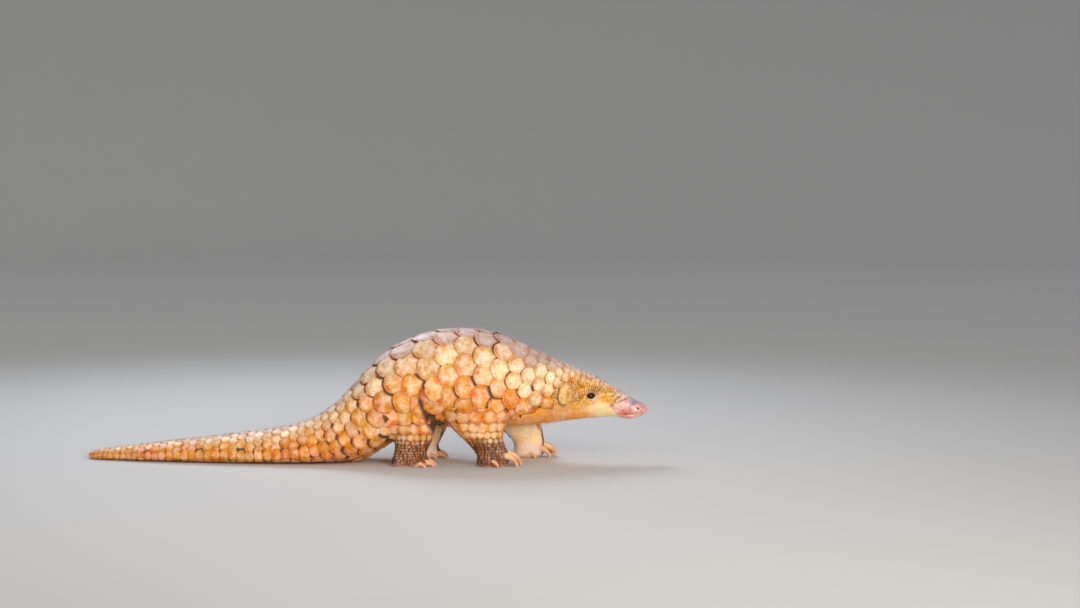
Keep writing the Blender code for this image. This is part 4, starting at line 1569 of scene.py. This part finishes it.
def bake_map(mesh, places):
    """The OFBake map of a piece: each scale's patch at its root's place on the unwrapped skin."""
    spots = np.array([p["unwrap"] for p in places])
    pitches = np.array([p["pitch"] for p in places])
    low = (spots - pitches).min(axis=0)
    span = (spots + pitches).max(axis=0) - low
    spots = (spots - low) / span
    patches = PATCH * pitches / span
    loops = scale_faces.ravel()
    face_kind = np.repeat(scale_is_top[scale_faces].sum(axis=1), 4)  # 4 on top, 0 under, else rim
    under = face_kind == 0
    across = np.where(under, UNDER_PATCH[0] + UNDER_PATCH[1] * scale_across[loops],
                      TOP_PATCH[0] + TOP_PATCH[1] * scale_across[loops])
    along = 0.8 * (scale_along[loops] - 0.5)
    rim = (face_kind > 0) & (face_kind < 4) & ~scale_is_top[loops]
    across = np.where(rim, TOP_PATCH[0] + (across - TOP_PATCH[0]) * 1.15, across)
    along = np.where(rim, along * 1.1, along)
    u = spots[:, 0:1] + patches[:, 0:1] * along[None]
    v = spots[:, 1:2] + patches[:, 1:2] * across[None]
    layer = mesh.uv_layers.new(name="OFBake")
    layer.data.foreach_set("uv", np.stack([u, v], axis=2).astype(np.float32).ravel())


def spots_of(places):
    """Where the scales of some places are."""
    return np.array([p["at"] for p in places])


# The heights and widths of the painted shade in the crease behind each shoulder.
CREASE_SHADE_HEIGHTS, CREASE_SHADE_WIDTHS = (0.05, 0.075, 0.1, 0.125), (0.013, 0.011, 0.008, 0.0056)


def past_crease(places, points):
    """How far each vertex of the flank's scales lies behind a shoulder, in widths of the shade painted in
    its crease.
    """
    past = np.full(points.shape[:2], 9.0)
    for k, place in enumerate(places):
        spot = place["at"]
        name = "foreleg_left" if spot.y > 0 else "foreleg_right"
        first = -0.006 if place.get("fills") else 0.0
        if abs(spot.y) < 0.03 or not 0.04 < spot.z < 0.15:
            continue
        if first < past_shoulder(name, np.array([spot]))[0] < 0.08:
            width = np.interp(points[k, :, 2], CREASE_SHADE_HEIGHTS, CREASE_SHADE_WIDTHS)
            hidden = 0.0 if place.get("fills") else CREASE_OVERHANG + 0.0025
            past[k] = (past_shoulder(name, points[k]) - hidden) / width
            past[k] += np.maximum(0, points[k, :, 2] - 0.122) / 0.008
    return past


def lay_scales(name, places, colours):
    """One piece of the coat: a bent copy of the plate at each place."""
    count, each = len(places), len(scale_across)
    columns = np.round(scale_across / np.maximum(0.01, np.abs(scale_across).max()) * 8).astype(int)
    wear = [np.array([chance.gauss(0, 1) for _ in range(17)])[columns + 8] for _ in range(64)]
    points, outs = np.empty((count, each, 3)), np.empty((count, each, 3))
    for k, place in enumerate(places):
        back = np.array(place["back"]) * place["length"]
        side_way = np.array(place["normal"].cross(place["back"])) * (place["width"] / 2)
        worn = 1 + WORN * wear[k % len(wear)] * scale_share**3
        flat = np.array(place["at"]) + np.outer(scale_along * worn - SHOWS_AT, back)
        pointed = 1 - place.get("taper", 0.0) * between(scale_along, 0.35, 1.0) ** 1.5
        flat += np.outer(scale_across * pointed, side_way)
        for j, spot in enumerate(flat):
            points[k, j], outs[k, j] = skin_surface.find_nearest(spot)[:2]
        sag = np.linalg.norm(points[k] - flat, axis=1).max() / place["width"]
        straight = (0.15 + 0.75 * between(sag, 0.16, 0.4)) * between(scale_along, 0.3, 0.95)
        straight = np.maximum(straight, place.get("stiff", 0.0) * between(scale_along, 0.2, 0.75))
        straight = np.where(((flat - points[k]) * outs[k]).sum(axis=1) < 0, 0, straight)
        points[k] += (flat - points[k]) * straight[:, None]
        outs[k] += (np.array(place["normal"]) - outs[k]) * straight[:, None]
    width = np.array([p["width"] for p in places])[:, None]
    lift = np.array([p["lift"] for p in places])[:, None]
    tilt = np.array([chance.gauss(0, 0.22) for _ in places])[:, None]
    thick = THINNEST + THICKENING * width
    crown = 0.014 * width * (1 - np.abs(scale_across) ** 1.5) * (1 - 0.5 * scale_along**2)
    height = thick * (1.72 * lift * scale_along + tilt * scale_across * scale_along) + crown
    height -= 1.2 * thick * (1 - np.minimum(1, scale_along / 0.3)) ** 2
    height -= 0.3 * thick * (scale_share > 0.99)
    height -= np.array([p.get("sinks", 0.0) for p in places])[:, None]
    height -= np.where(scale_is_top, 0, thick * (1 - 0.55 * scale_share**4))
    points += outs * height[:, :, None]
    points[:, :, 2] = np.maximum(points[:, :, 2], FLOOR_CLEAR)
    faces = (scale_faces[None] + (np.arange(count) * each)[:, None, None]).reshape(-1, 4)
    mesh = bpy.data.meshes.new(name)
    mesh.from_pydata(points.reshape(-1, 3).tolist(), [], faces.tolist())
    for attribute, values in (
        ("across", np.tile(scale_across, count)),
        ("along", np.tile(scale_along, count)),
        ("to edge", np.tile(scale_share, count)),
        ("underside", np.tile(~scale_is_top, count)),
        ("tone", np.repeat([chance.random() for _ in places], each)),
        ("root", np.repeat([p.get("root", 0.02) for p in places], each)),
        ("fringe", np.repeat([p.get("fringe", 0.0) for p in places], each)),
        ("past crease", past_crease(places, points).ravel()),
    ):
        store(mesh, attribute, values)
    bake_map(mesh, places)
    piece = smooth_object(name, mesh)
    paint(piece, np.repeat(colours, each, axis=0))
    print(name + ":", count, "scales,", len(faces) * 2, "triangles")
    return piece


def limb_colours(places):
    """The trunk's colour where a leg leaves it, passing into the leg's own."""
    spots = spots_of(places)
    trunk = coat_colour(spots, around_body(spots)[1])
    low = 1 - between(spots[:, 2], 0.05, 0.11)
    return trunk + (leg_colour(spots) - trunk) * low[:, None]


body_colours = coat_colour(spots_of(body_places), np.array([p["angle"] for p in body_places]))
coat_of_body = lay_scales("scales_body", body_places, body_colours)
coat_of_legs = lay_scales("scales_legs", leg_places, limb_colours(leg_places))
coat_of_gaps = lay_scales("scales_gaps", gap_places, limb_colours(gap_places))
temple_spots = spots_of(temple_places)
temple_normals = np.array([p["normal"] for p in temple_places])
temple_colours = bare_colour(temple_spots, temple_normals)
golden = seeded.uniform(0.0, 1.0, len(temple_spots))
temple_colours = blend_to(temple_colours, (0.96, 0.62, 0.22), 0.9 * golden)
temple_colours *= seeded.uniform(0.6, 1.12, (len(temple_spots), 1))
coat_of_temples = lay_scales("scales_temples", temple_places, temple_colours)

# %% [markdown]
# ## Hairs
#
# Between the scales grow stiff pale bristles, a centimetre or two long, and the bare skin carries
# short sparse hairs. At this size a hair is a three-sided spike in three joints, bent over towards
# the tail. Blender's own hair is easier to comb, but a mesh goes into any other program as it is.

# %% Tools for hairs
HAIR_RINGS = (0.0, 0.4, 0.75)  # shares of the length, before the tip
HAIR_ROOM = 0.005  # how far hairs may stand out of the solid model's box


def grow_hairs(name, roots, outs, backs, lengths, radius, stand, colours, unwrap):
    """A piece of hairs: roots on the skin, standing off it by an angle and bending back."""
    count, each = len(roots), len(HAIR_RINGS) * 3 + 1
    turn = np.radians(stand)[:, None]
    rise = outs * np.sin(turn) + backs * np.cos(turn)
    side = np.cross(rise, outs)
    side /= np.linalg.norm(side, axis=1)[:, None]
    over = np.cross(side, rise)
    points = np.empty((count, each, 3))
    for ring, share in enumerate((*HAIR_RINGS, 1.0)):
        bend = (0.45 * share**2 * lengths)[:, None]
        middle = roots + rise * (share * lengths)[:, None] + (backs - 0.6 * outs) * bend
        if ring == len(HAIR_RINGS):
            points[:, -1] = middle
            break
        for corner in range(3):
            angle = corner * 2 * math.pi / 3
            spoke = side * math.cos(angle) + over * math.sin(angle)
            points[:, ring * 3 + corner] = middle + spoke * (radius * (1 - 0.8 * share))
    points = np.clip(points, np.array(solid_box[0]) - HAIR_ROOM, np.array(solid_box[1]) + HAIR_ROOM)
    points[:, :, 2] = np.maximum(points[:, :, 2], FLOOR_CLEAR)
    quads = [(r * 3 + k, r * 3 + (k + 1) % 3, r * 3 + 3 + (k + 1) % 3, r * 3 + 3 + k)
             for r in range(len(HAIR_RINGS) - 1) for k in range(3)]
    last = (len(HAIR_RINGS) - 1) * 3
    tips = [(last + k, last + (k + 1) % 3, each - 1) for k in range(3)]
    one = [*quads, *tips, (2, 1, 0)]
    faces = [tuple(v + k * each for v in face) for k in range(count) for face in one]
    mesh = bpy.data.meshes.new(name)
    mesh.from_pydata(points.reshape(-1, 3).tolist(), [], faces)
    low = unwrap.min(axis=0)
    span = unwrap.max(axis=0) - low + 0.02
    corner_of = np.array([v % each for face in faces for v in face])
    hair_of = np.repeat(np.arange(count), sum(len(face) for face in one))
    spread = np.column_stack([corner_of // 3, corner_of % 3]) * (0.003 / 3)
    layer = mesh.uv_layers.new(name="OFBake")
    layer.data.foreach_set("uv", ((unwrap[hair_of] - low + spread) / span).astype(np.float32).ravel())
    piece = smooth_object(name, mesh)
    paint(piece, np.repeat(colours, each, axis=0))
    print(name + ":", count, "hairs")
    return piece


def spread_over_skin(density, count):
    """Random places on the skin, more where the density is higher, with their outward ways."""
    polygons = skin.data.polygons
    middles, outs = triples(polygons, "center"), triples(polygons, "normal")
    areas = np.empty(len(polygons))
    polygons.foreach_get("area", areas)
    weight = areas * density(middles, outs)
    picked = seeded.choice(len(weight), count, replace=False, p=weight / weight.sum())
    shift = seeded.uniform(-1, 1, (count, 3)) * np.sqrt(areas[picked])[:, None] * 0.4
    return middles[picked] + shift, outs[picked]


def back_ways(points, outs, droop):
    """The way the coat lies at each place: back along the body, and down by a share."""
    nearest = around_body(points)[0]
    ways = line_back[nearest] + np.array([0, 0, -1.0]) * droop
    ways -= outs * (ways * outs).sum(axis=1)[:, None]
    return ways / np.linalg.norm(ways, axis=1)[:, None]

# %% [markdown]
# A real pangolin has a few bristles under each scale. Two places at most are tried here between a
# scale and its neighbours, and about six in ten get one.

# %% Bristles between the scales
BRISTLE_RADIUS = 0.00016
chosen = [p for p in body_places if p["behind"] > 0.1 for _ in range(2) if chance.random() < 0.62]
roots, outs, backs = [], [], []
for place in chosen:
    aside = place["normal"].cross(place["back"]) * (place["width"] * chance.uniform(-0.42, 0.42))
    ahead_of = place["back"] * (place["length"] * chance.uniform(-0.22, 0.02))
    root, out = skin_surface.find_nearest(place["at"] + aside + ahead_of)[:2]
    roots.append(root)
    outs.append(out)
    splay = place["normal"].cross(place["back"]) * chance.uniform(-0.25, 0.25)
    backs.append((place["back"] + splay).normalized())
roots, outs, backs = np.array(roots), np.array(outs), np.array(backs)
angles = np.array([p["angle"] for p in chosen])
size = np.array([p["length"] for p in chosen])
lengths = (0.01 + 0.2 * size) * seeded.uniform(0.8, 1.5, len(chosen))
stand = seeded.uniform(14, 30, len(chosen))
colours = np.tile((0.8, 0.66, 0.48), (len(chosen), 1)) * seeded.uniform(0.75, 1.1, (len(chosen), 1))
bristles = grow_hairs("bristles", roots, outs, backs, lengths, BRISTLE_RADIUS, stand, colours,
                      unwrap_of(roots))

# %% [markdown]
# The hairs of the bare skin are shorter and finer. They stand thickest on the throat and are
# longest on the chest, and they are nearly the colour of the skin under them.

# %% Short hairs on the bare skin
SHORT_HAIRS, SHORT_HAIR_RADIUS = 2600, 0.00009


def bare_density(points, outs):
    """How thick the short hairs grow: most on the throat, few on the muzzle and inner legs."""
    distance = behind(points[:, 0])
    share, outer = leg_fields(points, outs)
    bare = 1 - scaled_share(points, outs)
    dense = 0.15 + 0.85 * between(distance, 0.06, 0.1) * (1 - between(distance, 0.34, 0.42))
    dense += 0.6 * between(-outs[:, 2], 0.0, 0.7) * between(distance, 0.1, 0.13) * (distance < 0.26)
    dense *= between(distance, 0.052, 0.064) * (distance < 0.5)
    clear = np.array([leaves_room(Vector(p)) for p in points])
    return bare * dense * clear * (1 - 0.55 * share) * (points[:, 2] > 0.01)


roots, outs = spread_over_skin(bare_density, SHORT_HAIRS)
backs = back_ways(roots, outs, 0.35)
far_back = behind(roots[:, 0])
lengths = 0.0032 + 0.0038 * between(far_back, 0.08, 0.18)
lengths += 0.006 * between(-outs[:, 2], 0.2, 0.9) * between(far_back, 0.11, 0.16) * (far_back < 0.27)
lengths *= seeded.uniform(0.6, 1.3, len(roots))
colours = bare_colour(roots, outs) * 0.75 + np.array((0.8, 0.66, 0.5)) * 0.2
short_hairs = grow_hairs("short_hairs", roots, outs, backs, lengths, SHORT_HAIR_RADIUS,
                         seeded.uniform(12, 34, len(roots)), colours, unwrap_of(roots))

# %% [markdown]
# ## Horn
#
# The scales are keratin, like fingernails: straw coloured and slightly glossy, ridged along their
# length near the base where they grew, worn smooth towards the free edge, with faint growth lines
# that repeat the outline. Dirt sits in the ridges and under the edges, and the shade under the edges
# is painted too.
#
# Each plate carries its own coordinates as attributes, across it, along it and towards its free
# edge, so the pattern follows every scale. A picture wrapped round the body could not do that.

# %% Tools for materials
def read(tree, kind, output, inputs=None, **settings):
    """Adds a node and reads one of its outputs. An input is a value or another Reading."""
    made = tree.nodes.new("ShaderNode" + kind)
    for key, value in settings.items():
        setattr(made, key, value)
    for key, value in (inputs or {}).items():
        connect(value, made.inputs[key])
    return Reading(tree, made.outputs[output])


def connect(value, socket):
    """Gives a socket a value, or a link to what is read."""
    if isinstance(value, Reading):
        value.tree.links.new(value.output, socket)
    else:
        socket.default_value = value


class Reading:
    """What one output of a node says. Sums with it are written as usual and become nodes."""

    def __init__(self, tree, output):
        self.tree, self.output = tree, output

    def sum(self, operation, first, second=0.0):
        return read(self.tree, "Math", 0, {0: first, 1: second}, operation=operation)

    def __add__(self, other):
        return self.sum("ADD", self, other)

    def __sub__(self, other):
        return self.sum("SUBTRACT", self, other)

    def __rsub__(self, other):
        return self.sum("SUBTRACT", other, self)

    def __mul__(self, other):
        return self.sum("MULTIPLY", self, other)

    def __truediv__(self, other):
        return self.sum("DIVIDE", self, other)

    def __pow__(self, other):
        return self.sum("POWER", self, other)

    def __abs__(self):
        return self.sum("ABSOLUTE", self)

    def ramp(self, low, high, start=0.0, end=1.0):
        """A smooth step from start to end, as this goes from low to high."""
        inputs = {"Value": self, "From Min": low, "From Max": high, "To Min": start, "To Max": end}
        return read(self.tree, "MapRange", "Result", inputs, interpolation_type="SMOOTHSTEP")

    def grain(self, scale, detail=3.0, roughness=0.55):
        """Soft noise from 0 to 1 at this place."""
        inputs = {"Vector": self, "Scale": scale, "Detail": detail, "Roughness": roughness}
        return read(self.tree, "TexNoise", "Fac", inputs)

    def mix(self, first, second, blend="MIX"):
        """The first colour, with this share of the second."""
        inputs = {0: self, 6: first, 7: second}
        return read(self.tree, "Mix", 2, inputs, data_type="RGBA", blend_type=blend)

    def toned(self, **changes):
        """This colour with its hue, saturation or value changed."""
        return read(self.tree, "HueSaturation", 0, {"Color": self, **changes})


def material(name):
    """An empty node material, its shader, and the place of each point of the object."""
    made = bpy.data.materials.new(name)
    made.use_nodes = True
    shader = made.node_tree.nodes["Principled BSDF"]
    return made, shader, read(made.node_tree, "TexCoord", "Object")


def stored(place, name, output="Fac"):
    """What is stored on the piece under a name."""
    return read(place.tree, "Attribute", output, attribute_name=name)


def vector(x, y, z):
    """A place made from three readings."""
    return read(x.tree, "CombineXYZ", 0, {"X": x, "Y": y, "Z": z})


def relief(shader, height, distance, strength):
    """Gives the shader the small relief of a height."""
    inputs = {"Height": height, "Distance": distance, "Strength": strength}
    connect(read(height.tree, "Bump", 0, inputs), shader.inputs["Normal"])

# %% [markdown]
# First come the measures of the pattern. The striae fan out from the root, the growth rings repeat
# the free edge, and scratches run along the plate. Each scale's own number, its tone, shifts them,
# so that no two are alike. Three more noises are in space and run on from scale to scale.

# %% Horn: what the pattern is made from
# painted shade: the undersides of the scales, and the flank's scales in the crease behind the shoulder
UNDERSIDE_SHADE_BROWN = (0.06, 0.024, 0.012, 1)
# brown of dirt at the scales' bases, in scratches and grit, and of painted shade under the row in front
DIRT_AND_SHADE_BROWN = (0.11, 0.042, 0.016, 1)
# tint of the redder free edge of each scale, and of painted shade just beyond the row in front
BORDER_AND_SHADE_TINT = (0.96, 0.6, 0.36, 1)
STRIA_TINT = (0.8, 0.56, 0.38, 1)
BLOTCH_TINT = (0.8, 0.46, 0.3, 1)
WORN_RIM = (0.9, 0.76, 0.54, 1)
NEXT_COLUMN = 1 / WIDTH_IN_COLUMNS  # where the scales of the row in front have their middle

horn, shader, place = material("horn scales")
across, along = stored(place, "across"), stored(place, "along")
to_edge, tone = stored(place, "to edge"), stored(place, "tone")
shift = tone * 37.0
fan = across / (along + 0.55)
striae = vector(fan * 12.0, along, shift).grain(2.4, 4.0, 0.65)
rings = vector(to_edge * 8.0, across, shift).grain(1.4, 3.0, 0.6)
scratches = vector(fan * 3.0, along, shift).grain(11.0, 3.0, 0.7)
cloud = place.grain(75.0, 4.0, 0.6)
drift = place.grain(22.0, 2.0)
grit = place.grain(420.0, 4.0, 0.7)

# %% [markdown]
# The colour starts as the paint and is changed step by step, as a maker would glaze it: uneven
# hue, a paler middle that is a painted highlight, streaks near the root, a redder border towards the
# free edge, growth rings and blotches. Glazes multiply, so they darken the paint and never hide it.

# %% Horn: glazes
ground = stored(place, "paint", "Color").toned(
    Hue=drift.ramp(0.35, 0.65, 0.488, 0.508),
    Saturation=cloud.ramp(0.32, 0.68, 0.76, 1.3),
    Value=tone.ramp(0.0, 1.0, 0.9, 1.1) * cloud.ramp(0.32, 0.68, 1.07, 0.92),
)
# A paler, less saturated middle on each scale: a painted highlight.
middle = abs(across).ramp(0.85, 0.15) * to_edge.ramp(1.0, 0.72)
ground = ground.toned(Saturation=middle.ramp(0.0, 1.0, 1.1, 0.94), Value=middle.ramp(0.0, 1.0, 0.97, 1.06))
near_root = along.ramp(0.55, 0.2, 0.0, 0.8)
colour = (striae.ramp(0.48, 0.7) * (near_root + 0.45)).mix(ground, STRIA_TINT, "MULTIPLY")
ragged = to_edge + cloud.ramp(0.3, 0.7, -0.1, 0.1)
colour = ragged.ramp(0.8, 0.99, 0.0, 0.9).mix(colour, BORDER_AND_SHADE_TINT, "MULTIPLY")
colour = rings.ramp(0.52, 0.66, 0.0, 0.7).mix(colour, STRIA_TINT, "MULTIPLY")
colour = cloud.ramp(0.56, 0.74, 0.0, 0.55).mix(colour, BLOTCH_TINT, "MULTIPLY")

# %% [markdown]
# Dirt gathers where the row in front ends, and the shade under that row's free edges is painted
# there too. That line is known, because it is the free edge of a plate like this one, half a column
# to the side: uncovered says how far a place lies beyond it. Scratches and grit are dirty too, the
# rim is worn pale, and where the flank's scales go into the crease behind the shoulder they are
# painted as dark as their undersides, which are painted dark as shade.

# %% Horn: dirt, wear and painted shade
beside = abs(abs(across) - NEXT_COLUMN)
free_edge = (1.0 - beside ** ARCH[0]) ** ARCH[1] * (SHOULDER - 1)
uncovered = along + free_edge + (1 / LENGTH_IN_ROWS - SHOULDER)
uncovered = uncovered + striae.ramp(0.3, 0.7, -0.02, 0.02)
# Just beyond the free edges of the row in front each scale is glazed darker: painted shade under those
# edges.
colour = uncovered.ramp(0.01, 0.14, 0.85, 0.0).mix(colour, BORDER_AND_SHADE_TINT, "MULTIPLY")
# A dark band where the row in front ends: dirt, and painted shade under its free edges; weaker at the
# coat's fringe.
inside = 1.0 - stored(place, "fringe") * 0.85
root_reach = stored(place, "root") + 0.014
colour = (uncovered.ramp(0.002, root_reach, 0.97, 0.0) * inside).mix(colour, DIRT_AND_SHADE_BROWN)
nicks = scratches.ramp(0.58, 0.74) * cloud.ramp(0.45, 0.62, 0.05, 0.75)
colour = nicks.mix(colour, DIRT_AND_SHADE_BROWN)
colour = grit.ramp(0.54, 0.74, 0.0, 0.3).mix(colour, DIRT_AND_SHADE_BROWN)
rim = to_edge.ramp(0.952, 0.99) * cloud.ramp(0.42, 0.6, 0.0, 0.4)
colour = rim.mix(colour, WORN_RIM)
# The flank's scales in the crease behind the shoulder are painted dark: painted shade.
colour = stored(place, "past crease").ramp(0.5, 1.4, 0.96, 0.0).mix(colour, UNDERSIDE_SHADE_BROWN)
# The undersides of the scales are painted dark brown: painted shade.
colour = stored(place, "underside").ramp(0.25, 0.6).mix(colour, UNDERSIDE_SHADE_BROWN)
connect(colour, shader.inputs["Base Color"])

# %% Horn: gloss and relief
connect(cloud.ramp(0.3, 0.7, 0.34, 0.52), shader.inputs["Roughness"])
shader.inputs["Specular IOR Level"].default_value = 0.36
ridges = striae * along.ramp(0.35, 1.0, 1.4, 0.5)
relief(shader, ridges + rings * 0.8 + scratches * -0.5 + grit * 0.25, 0.0008, 0.55)
for coat in (coat_of_body, coat_of_legs, coat_of_gaps, coat_of_temples):
    coat.data.materials.append(horn)
print("horn:", len(place.tree.nodes), "nodes")

# %% [markdown]
# ## Bare skin
#
# Bare pangolin skin is soft and crinkled, with pores. It is duller than the horn except on the
# moist nose. Its finest wrinkles are bump, since they are a fraction of a millimetre deep.

# %% Bare skin
NOSE_FROM = (0.425, 0.462)  # where the skin starts to be moist, and is
FRECKLE_BROWN = (0.3, 0.1, 0.02, 1)
SPECKLE_BROWN = (0.28, 0.12, 0.07, 1)
flesh, shader, place = material("bare skin")
crepe = place.grain(160.0, 5.0, 0.65)
pores = read(place.tree, "TexVoronoi", "Distance", {"Vector": place, "Scale": 620.0})
speckle = place.grain(700.0, 2.0, 0.7)
colour = stored(place, "paint", "Color").toned(
    Saturation=place.grain(45.0, 3.0).ramp(0.3, 0.7, 0.85, 1.15),
    Value=crepe.ramp(0.3, 0.7, 0.9, 1.08),
)
freckles = place.grain(430.0, 3.0, 0.55).ramp(0.48, 0.7) * stored(place, "freckled")
colour = (freckles * 0.95).mix(colour, FRECKLE_BROWN)
colour = speckle.ramp(0.6, 0.72, 0.0, 0.5).mix(colour, SPECKLE_BROWN)
connect(colour, shader.inputs["Base Color"])
moist = read(place.tree, "SeparateXYZ", "X", {0: place}).ramp(*NOSE_FROM) * -0.26
connect(crepe.ramp(0.3, 0.7, 0.5, 0.66) + moist, shader.inputs["Roughness"])
shader.inputs["Subsurface Weight"].default_value = 0.12
shader.inputs["Subsurface Radius"].default_value = (1.0, 0.35, 0.2)
shader.inputs["Subsurface Scale"].default_value = 0.003
relief(shader, crepe + pores * 0.6, 0.0008, 0.45)
skin.data.materials.clear()
skin.data.materials.append(flesh)
skin.data.polygons.foreach_set("use_smooth", np.ones(len(skin.data.polygons), bool))
skin.data.update()
print("skin:", len(place.tree.nodes), "nodes")

# %% [markdown]
# The hairs are horn too, pale and thin. Each is painted in one colour and only needs a gloss.

# %% Hair
hair, shader, place = material("pale hair")
connect(stored(place, "paint", "Color"), shader.inputs["Base Color"])
shader.inputs["Roughness"].default_value = 0.45
for piece in (bristles, short_hairs):
    piece.data.materials.append(hair)
print("hair:", len(place.tree.nodes), "nodes")

# %% [markdown]
# ## Eyes
#
# The eyes are small, round and almost black, with a brown iris that shows only in strong light.
# Each is a ball with a slightly raised cornea, turned the way the eye looks. Its rings of colour
# are read from how far round from the front each vertex lies.

# %% Eyes
CORNEA_HALF_ANGLE, CORNEA_RISE = math.radians(38), 0.0006
PUPIL, IRIS, WHITE = (0.003, 0.002, 0.002, 1), (0.022, 0.01, 0.006, 1), (0.01, 0.006, 0.005, 1)
eye_material, shader, place = material("wet dark eye")
from_front = stored(place, "from front")
colour = from_front.ramp(22, 26).mix(PUPIL, IRIS)
connect(from_front.ramp(44, 52).mix(colour, WHITE), shader.inputs["Base Color"])
shader.inputs["Roughness"].default_value = 0.05
shader.inputs["Specular IOR Level"].default_value = 0.4

eyeballs = []
for name, ball in EYE_BALL.items():
    bm = bmesh.new()
    bmesh.ops.create_uvsphere(bm, u_segments=40, v_segments=24, radius=EYE_RADIUS)
    turns = {}
    for vertex in bm.verts:
        turn = vertex.co.angle(Vector((0, 0, 1)))
        turns[vertex.index] = math.degrees(turn)
        rise = max(0.0, 1 - (turn / CORNEA_HALF_ANGLE) ** 2)
        vertex.co += vertex.co.normalized() * (CORNEA_RISE * rise)
    looks = Vector(eye_axis(leg_side(name)))
    bmesh.ops.rotate(bm, verts=bm.verts, matrix=looks.to_track_quat("Z", "Y").to_matrix())
    bmesh.ops.translate(bm, verts=bm.verts, vec=ball)
    mesh = bpy.data.meshes.new(name + "_ball")
    bm.to_mesh(mesh)
    bm.free()
    store(mesh, "from front", [turns[k] for k in range(len(mesh.vertices))])
    eyeball = smooth_object(name + "_ball", mesh, eye_material)
    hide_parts(name)
    eyeballs.append(eyeball)
print(len(eyeballs), "eyes")

# %% [markdown]
# ## Claws
#
# Pangolins dig open ant nests, so the forefeet have long curved claws, the middle three much the
# longest. The solid model has them with flat facets. A copy of each is rounded with a Subdivision
# Surface, after growing it by what the rounding takes off.

# %% Claws
ROUNDING_LOSS = 0.0011
CLAW_CREAM, CLAW_ORANGE = (0.78, 0.6, 0.38, 1), (0.8, 0.38, 0.2, 1)
CLAW_STREAK, CLAW_TIP, CLAW_SOIL = (0.85, 0.62, 0.45, 1), (0.86, 0.72, 0.56, 1), (0.16, 0.07, 0.04, 1)
claw_horn, shader, place = material("claw horn")
from_root = stored(place, "from root")
drawn_out = read(place.tree, "Mapping", 0, {"Vector": place, "Scale": (1, 5, 1)})
fibres = drawn_out.grain(160.0, 4.0)
colour = from_root.ramp(0.3, 0.8).mix(CLAW_CREAM, CLAW_ORANGE)
colour = fibres.ramp(0.42, 0.7, 0.0, 0.6).mix(colour, CLAW_STREAK, "MULTIPLY")
colour = from_root.ramp(0.88, 1.0, 0.0, 0.6).mix(colour, CLAW_TIP)
colour = from_root.ramp(0.16, 0.34, 0.85, 0.0).mix(colour, CLAW_SOIL)
connect(colour, shader.inputs["Base Color"])
shader.inputs["Roughness"].default_value = 0.38
relief(shader, fibres, 0.0006, 0.45)

claws = []
for name, (root, tip, _) in CLAW_LINES.items():
    bm = solid_copy(name, ROUNDING_LOSS)
    mesh = bpy.data.meshes.new(name + "_horn")
    bm.to_mesh(mesh)
    bm.free()
    reach = np.linalg.norm(places_of(mesh) - np.array(root), axis=1)
    store(mesh, "from root", reach / (tip - root).length)
    claw = smooth_object(name + "_horn", mesh, claw_horn)
    rounding = claw.modifiers.new("rounding", "SUBSURF")
    rounding.levels = rounding.render_levels = 2
    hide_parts(name)
    claws.append(claw)
print(len(claws), "claws")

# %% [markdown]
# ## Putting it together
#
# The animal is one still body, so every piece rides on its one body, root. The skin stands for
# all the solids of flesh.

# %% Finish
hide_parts(*FLESH)
coats = (coat_of_body, coat_of_legs, coat_of_gaps, coat_of_temples, bristles, short_hairs)
for piece in (skin, *coats, *eyeballs, *claws):
    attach(piece, "root")
